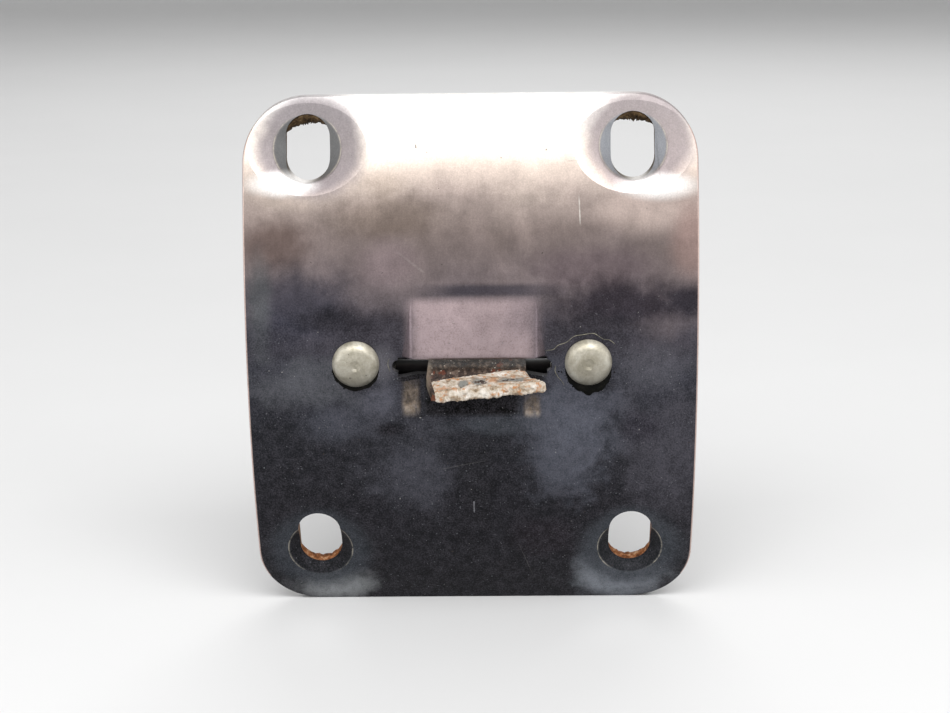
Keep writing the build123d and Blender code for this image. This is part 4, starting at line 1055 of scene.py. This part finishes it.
def newTree(name, sockets):
    tree = bpy.data.node_groups.new(name, "GeometryNodeTree")
    tree.interface.new_socket("Geometry", in_out="INPUT", socket_type="NodeSocketGeometry")
    known = {}
    for label, kind in sockets.items():
        socket = tree.interface.new_socket(label, in_out="INPUT", socket_type="NodeSocket" + kind)
        known[label] = socket.identifier
    tree.interface.new_socket("Geometry", in_out="OUTPUT", socket_type="NodeSocketGeometry")
    start = tree.nodes.new("NodeGroupInput")
    end = tree.nodes.new("NodeGroupOutput")
    return tree, start, end, known


def geo(tree, kind, values=None, prefix="GeometryNode", **settings):
    return addNode(tree, kind, values, prefix, **settings)


# A row of thin rings along X, as the crests of a thread
def threadTree():
    tree, start, end, known = newTree("threadCrests", {
        "Count": "Int", "Pitch": "Float", "Radius": "Float", "Crest": "Float", "Material": "Material",
    })
    aside = geo(tree, "CombineXYZ", {0: start.outputs["Pitch"]}, "ShaderNode")
    row = geo(tree, "MeshLine", {"Count": start.outputs["Count"], "Offset": aside.outputs[0]})
    ring = geo(tree, "CurvePrimitiveCircle", {"Resolution": 36, "Radius": start.outputs["Radius"]})
    profile = geo(tree, "CurvePrimitiveCircle", {"Resolution": 4, "Radius": start.outputs["Crest"]})
    tube = geo(tree, "CurveToMesh", {
        "Curve": ring.outputs["Curve"], "Profile Curve": profile.outputs["Curve"],
    })
    upright = geo(tree, "Transform", {"Geometry": tube.outputs[0], "Rotation": (0, math.pi / 2, 0)})
    placed = geo(tree, "InstanceOnPoints", {"Points": row.outputs[0], "Instance": upright.outputs[0]})
    made = geo(tree, "RealizeInstances", {0: placed.outputs[0]})
    done = geo(tree, "SetMaterial", {"Geometry": made.outputs[0], "Material": start.outputs["Material"]})
    tree.links.new(done.outputs[0], end.inputs[0])
    return tree, known


# Grains of uneven size strewn over a patch
def grainTree():
    tree, start, end, known = newTree("strewnGrains", {
        "Density": "Float", "Seed": "Int", "Smallest": "Float", "Largest": "Float", "Material": "Material",
    })
    strewn = geo(tree, "DistributePointsOnFaces", {
        "Mesh": start.outputs["Geometry"], "Density": start.outputs["Density"], "Seed": start.outputs["Seed"],
    })
    grain = geo(tree, "MeshIcoSphere", {"Radius": 1.0, "Subdivisions": 2})
    size = geo(tree, "RandomValue", {
        "Min": start.outputs["Smallest"], "Max": start.outputs["Largest"], "Seed": 4,
    }, "FunctionNode", data_type="FLOAT")
    squeeze = geo(tree, "RandomValue", {
        "Min": (0.6, 0.4, 0.6), "Max": (1.3, 0.7, 1.3), "Seed": 7,
    }, "FunctionNode", data_type="FLOAT_VECTOR")
    values = {0: squeeze.outputs[0], 3: size.outputs[1]}
    scaled = geo(tree, "VectorMath", values, "ShaderNode", operation="SCALE")
    placed = geo(tree, "InstanceOnPoints", {
        "Points": strewn.outputs["Points"], "Instance": grain.outputs["Mesh"], "Scale": scaled.outputs[0],
    })
    made = geo(tree, "RealizeInstances", {0: placed.outputs[0]})
    done = geo(tree, "SetMaterial", {"Geometry": made.outputs[0], "Material": start.outputs["Material"]})
    tree.links.new(done.outputs[0], end.inputs[0])
    return tree, known


def growPiece(name, tree, known, values, material, base=None, moved=None):
    mesh = base or bpy.data.meshes.new(name + "_base")
    piece = bpy.data.objects.new(name, mesh)
    bpy.context.scene.collection.objects.link(piece)
    growth = piece.modifiers.new("growth", "NODES")
    growth.node_group = tree
    for key, value in values.items():
        growth[known[key]] = value
    growth[known["Material"]] = material
    bpy.context.view_layer.update()
    ready = piece.evaluated_get(bpy.context.evaluated_depsgraph_get())
    grown = bpy.data.meshes.new_from_object(ready)
    piece.modifiers.remove(growth)
    piece.data = grown
    grown.name = name
    if moved is not None:
        grown.transform(moved)
    if not grown.materials:
        grown.materials.append(material)
    for face in grown.polygons:
        face.use_smooth = True
    print(name, len(grown.polygons), "faces")
    ridePiece(piece, "plate_and_frame")


threadLook = {
    "pitch": 0.62,
    "radius": 1.41,
    "crest": 0.055,
    "screws": [
        # name, start of the row, its direction, crests
        ("stop_screw_thread", (0, 17.0, 0.6), "Z", 12),
        ("front_bolt_thread", (15.95, 17.8, -10.9), "X", 5),
        ("rear_bolt_thread", (15.95, 40.0, -21.2), "X", 5),
    ],
}


def makeThreads(look):
    tree, known = threadTree()
    for name, start, axis, count in look["screws"]:
        turn = Matrix.Rotation(-math.pi / 2, 4, "Y") if axis == "Z" else Matrix.Identity(4)
        values = {"Count": count, **{key.title(): look[key] * mm for key in ("pitch", "radius", "crest")}}
        moved = Matrix.Translation(Vector(start) * mm) @ turn
        growPiece(name, tree, known, values, finishes["bright_steel"], moved=moved)


makeThreads(threadLook)

grainLook = {
    "dust": {"cell": 1.0, "seed": 21, "density": 90000.0, "size": (0.03, 0.07)},
    "grit": {"cell": 0.25, "seed": 5, "density": 2600000.0, "size": (0.05, 0.16)},
    # The part of the plate's front where grains may lie, from left to right and up
    "field": ((-36.5, 36.5), (-44.5, 24.0)),
    # No dust on the louvre (half width, bottom, top), round the rivets and lower slots, and past corners
    "louvre": (14.0, -10.5, 12.5),
    "cleared": [(*rivetPlace, 4.6), (27.3, -34.5, 10.5)],
    "corner": (33.0, -33.0),
    # Grit from this far to that far from a rivet's middle, and what the right one has besides
    "gritReach": (3.9, 4.55),
    "gritRight": 0.7,
}


# A patch of the plate's front made of small squares, kept where the test says so
def platePatch(name, field, cell, keep):
    corners, faces = [], []
    (x, right), (bottom, top) = field
    while x < right:
        z = bottom
        while z < top:
            if keep(x + cell / 2, z + cell / 2):
                start = len(corners)
                for cx, cz in ((x, z), (x + cell, z), (x + cell, z + cell), (x, z + cell)):
                    corners.append(Vector((cx, plateFrontY(cz), cz)) * mm)
                faces.append(tuple(range(start, start + 4)))
            z += cell
        x += cell
    mesh = bpy.data.meshes.new(name)
    mesh.from_pydata(corners, [], faces)
    return mesh


def onOpenPlate(x, z):
    look = grainLook
    halfWidth, bottom, top = look["louvre"]
    if abs(x) < halfWidth and bottom < z < top:
        return False
    if any(math.hypot(abs(x) - cx, z - cz) < radius for cx, cz, radius in look["cleared"]):
        return False
    if abs(x) > look["corner"][0] and z < look["corner"][1]:
        return False
    spread = noise.fractal(Vector((x * 0.09, z * 0.09, 3.0)), 0.9, 2.0, 3)
    return spread + 0.25 - max(0, z) * 0.02 > 0.1


def underRivet(x, z):
    rivetX, rivetZ = rivetPlace
    nearest, furthest = grainLook["gritReach"]
    reach = math.hypot(abs(x) - rivetX, z - rivetZ)
    low = (rivetZ - z) / max(reach, 0.01)
    ragged = 0.9 * noise.fractal(Vector((x * 1.2, z * 1.2, 8.0)), 0.8, 2.1, 3)
    return nearest < reach < furthest + grainLook["gritRight"] * (x > 0) + ragged and low > 0.25


def makeGrains(look):
    tree, known = grainTree()
    dust = makeMottled("paleDust", {
        "metallic": 0.0, "patch": 3.0, "grain": 0.3, "contrast": 0.2,
        "dark": (0.09, 0.09, 0.10), "middle": (0.18, 0.18, 0.19), "light": (0.36, 0.35, 0.34),
        "shine": (0.6, 0.9), "bump": 0.4, "depth": 0.02,
    })
    kinds = [("dust_grains", "dust", dust, onOpenPlate), ("rivet_grit", "grit", packedDirt, underRivet)]
    for name, kind, material, keep in kinds:
        smallest, largest = look[kind]["size"]
        values = {
            "Density": look[kind]["density"], "Seed": look[kind]["seed"],
            "Smallest": smallest * mm, "Largest": largest * mm,
        }
        patch = platePatch(kind + "_patch", look["field"], look[kind]["cell"], keep)
        growPiece(name, tree, known, values, material, base=patch)


makeGrains(grainLook)
print("threads and grains made")
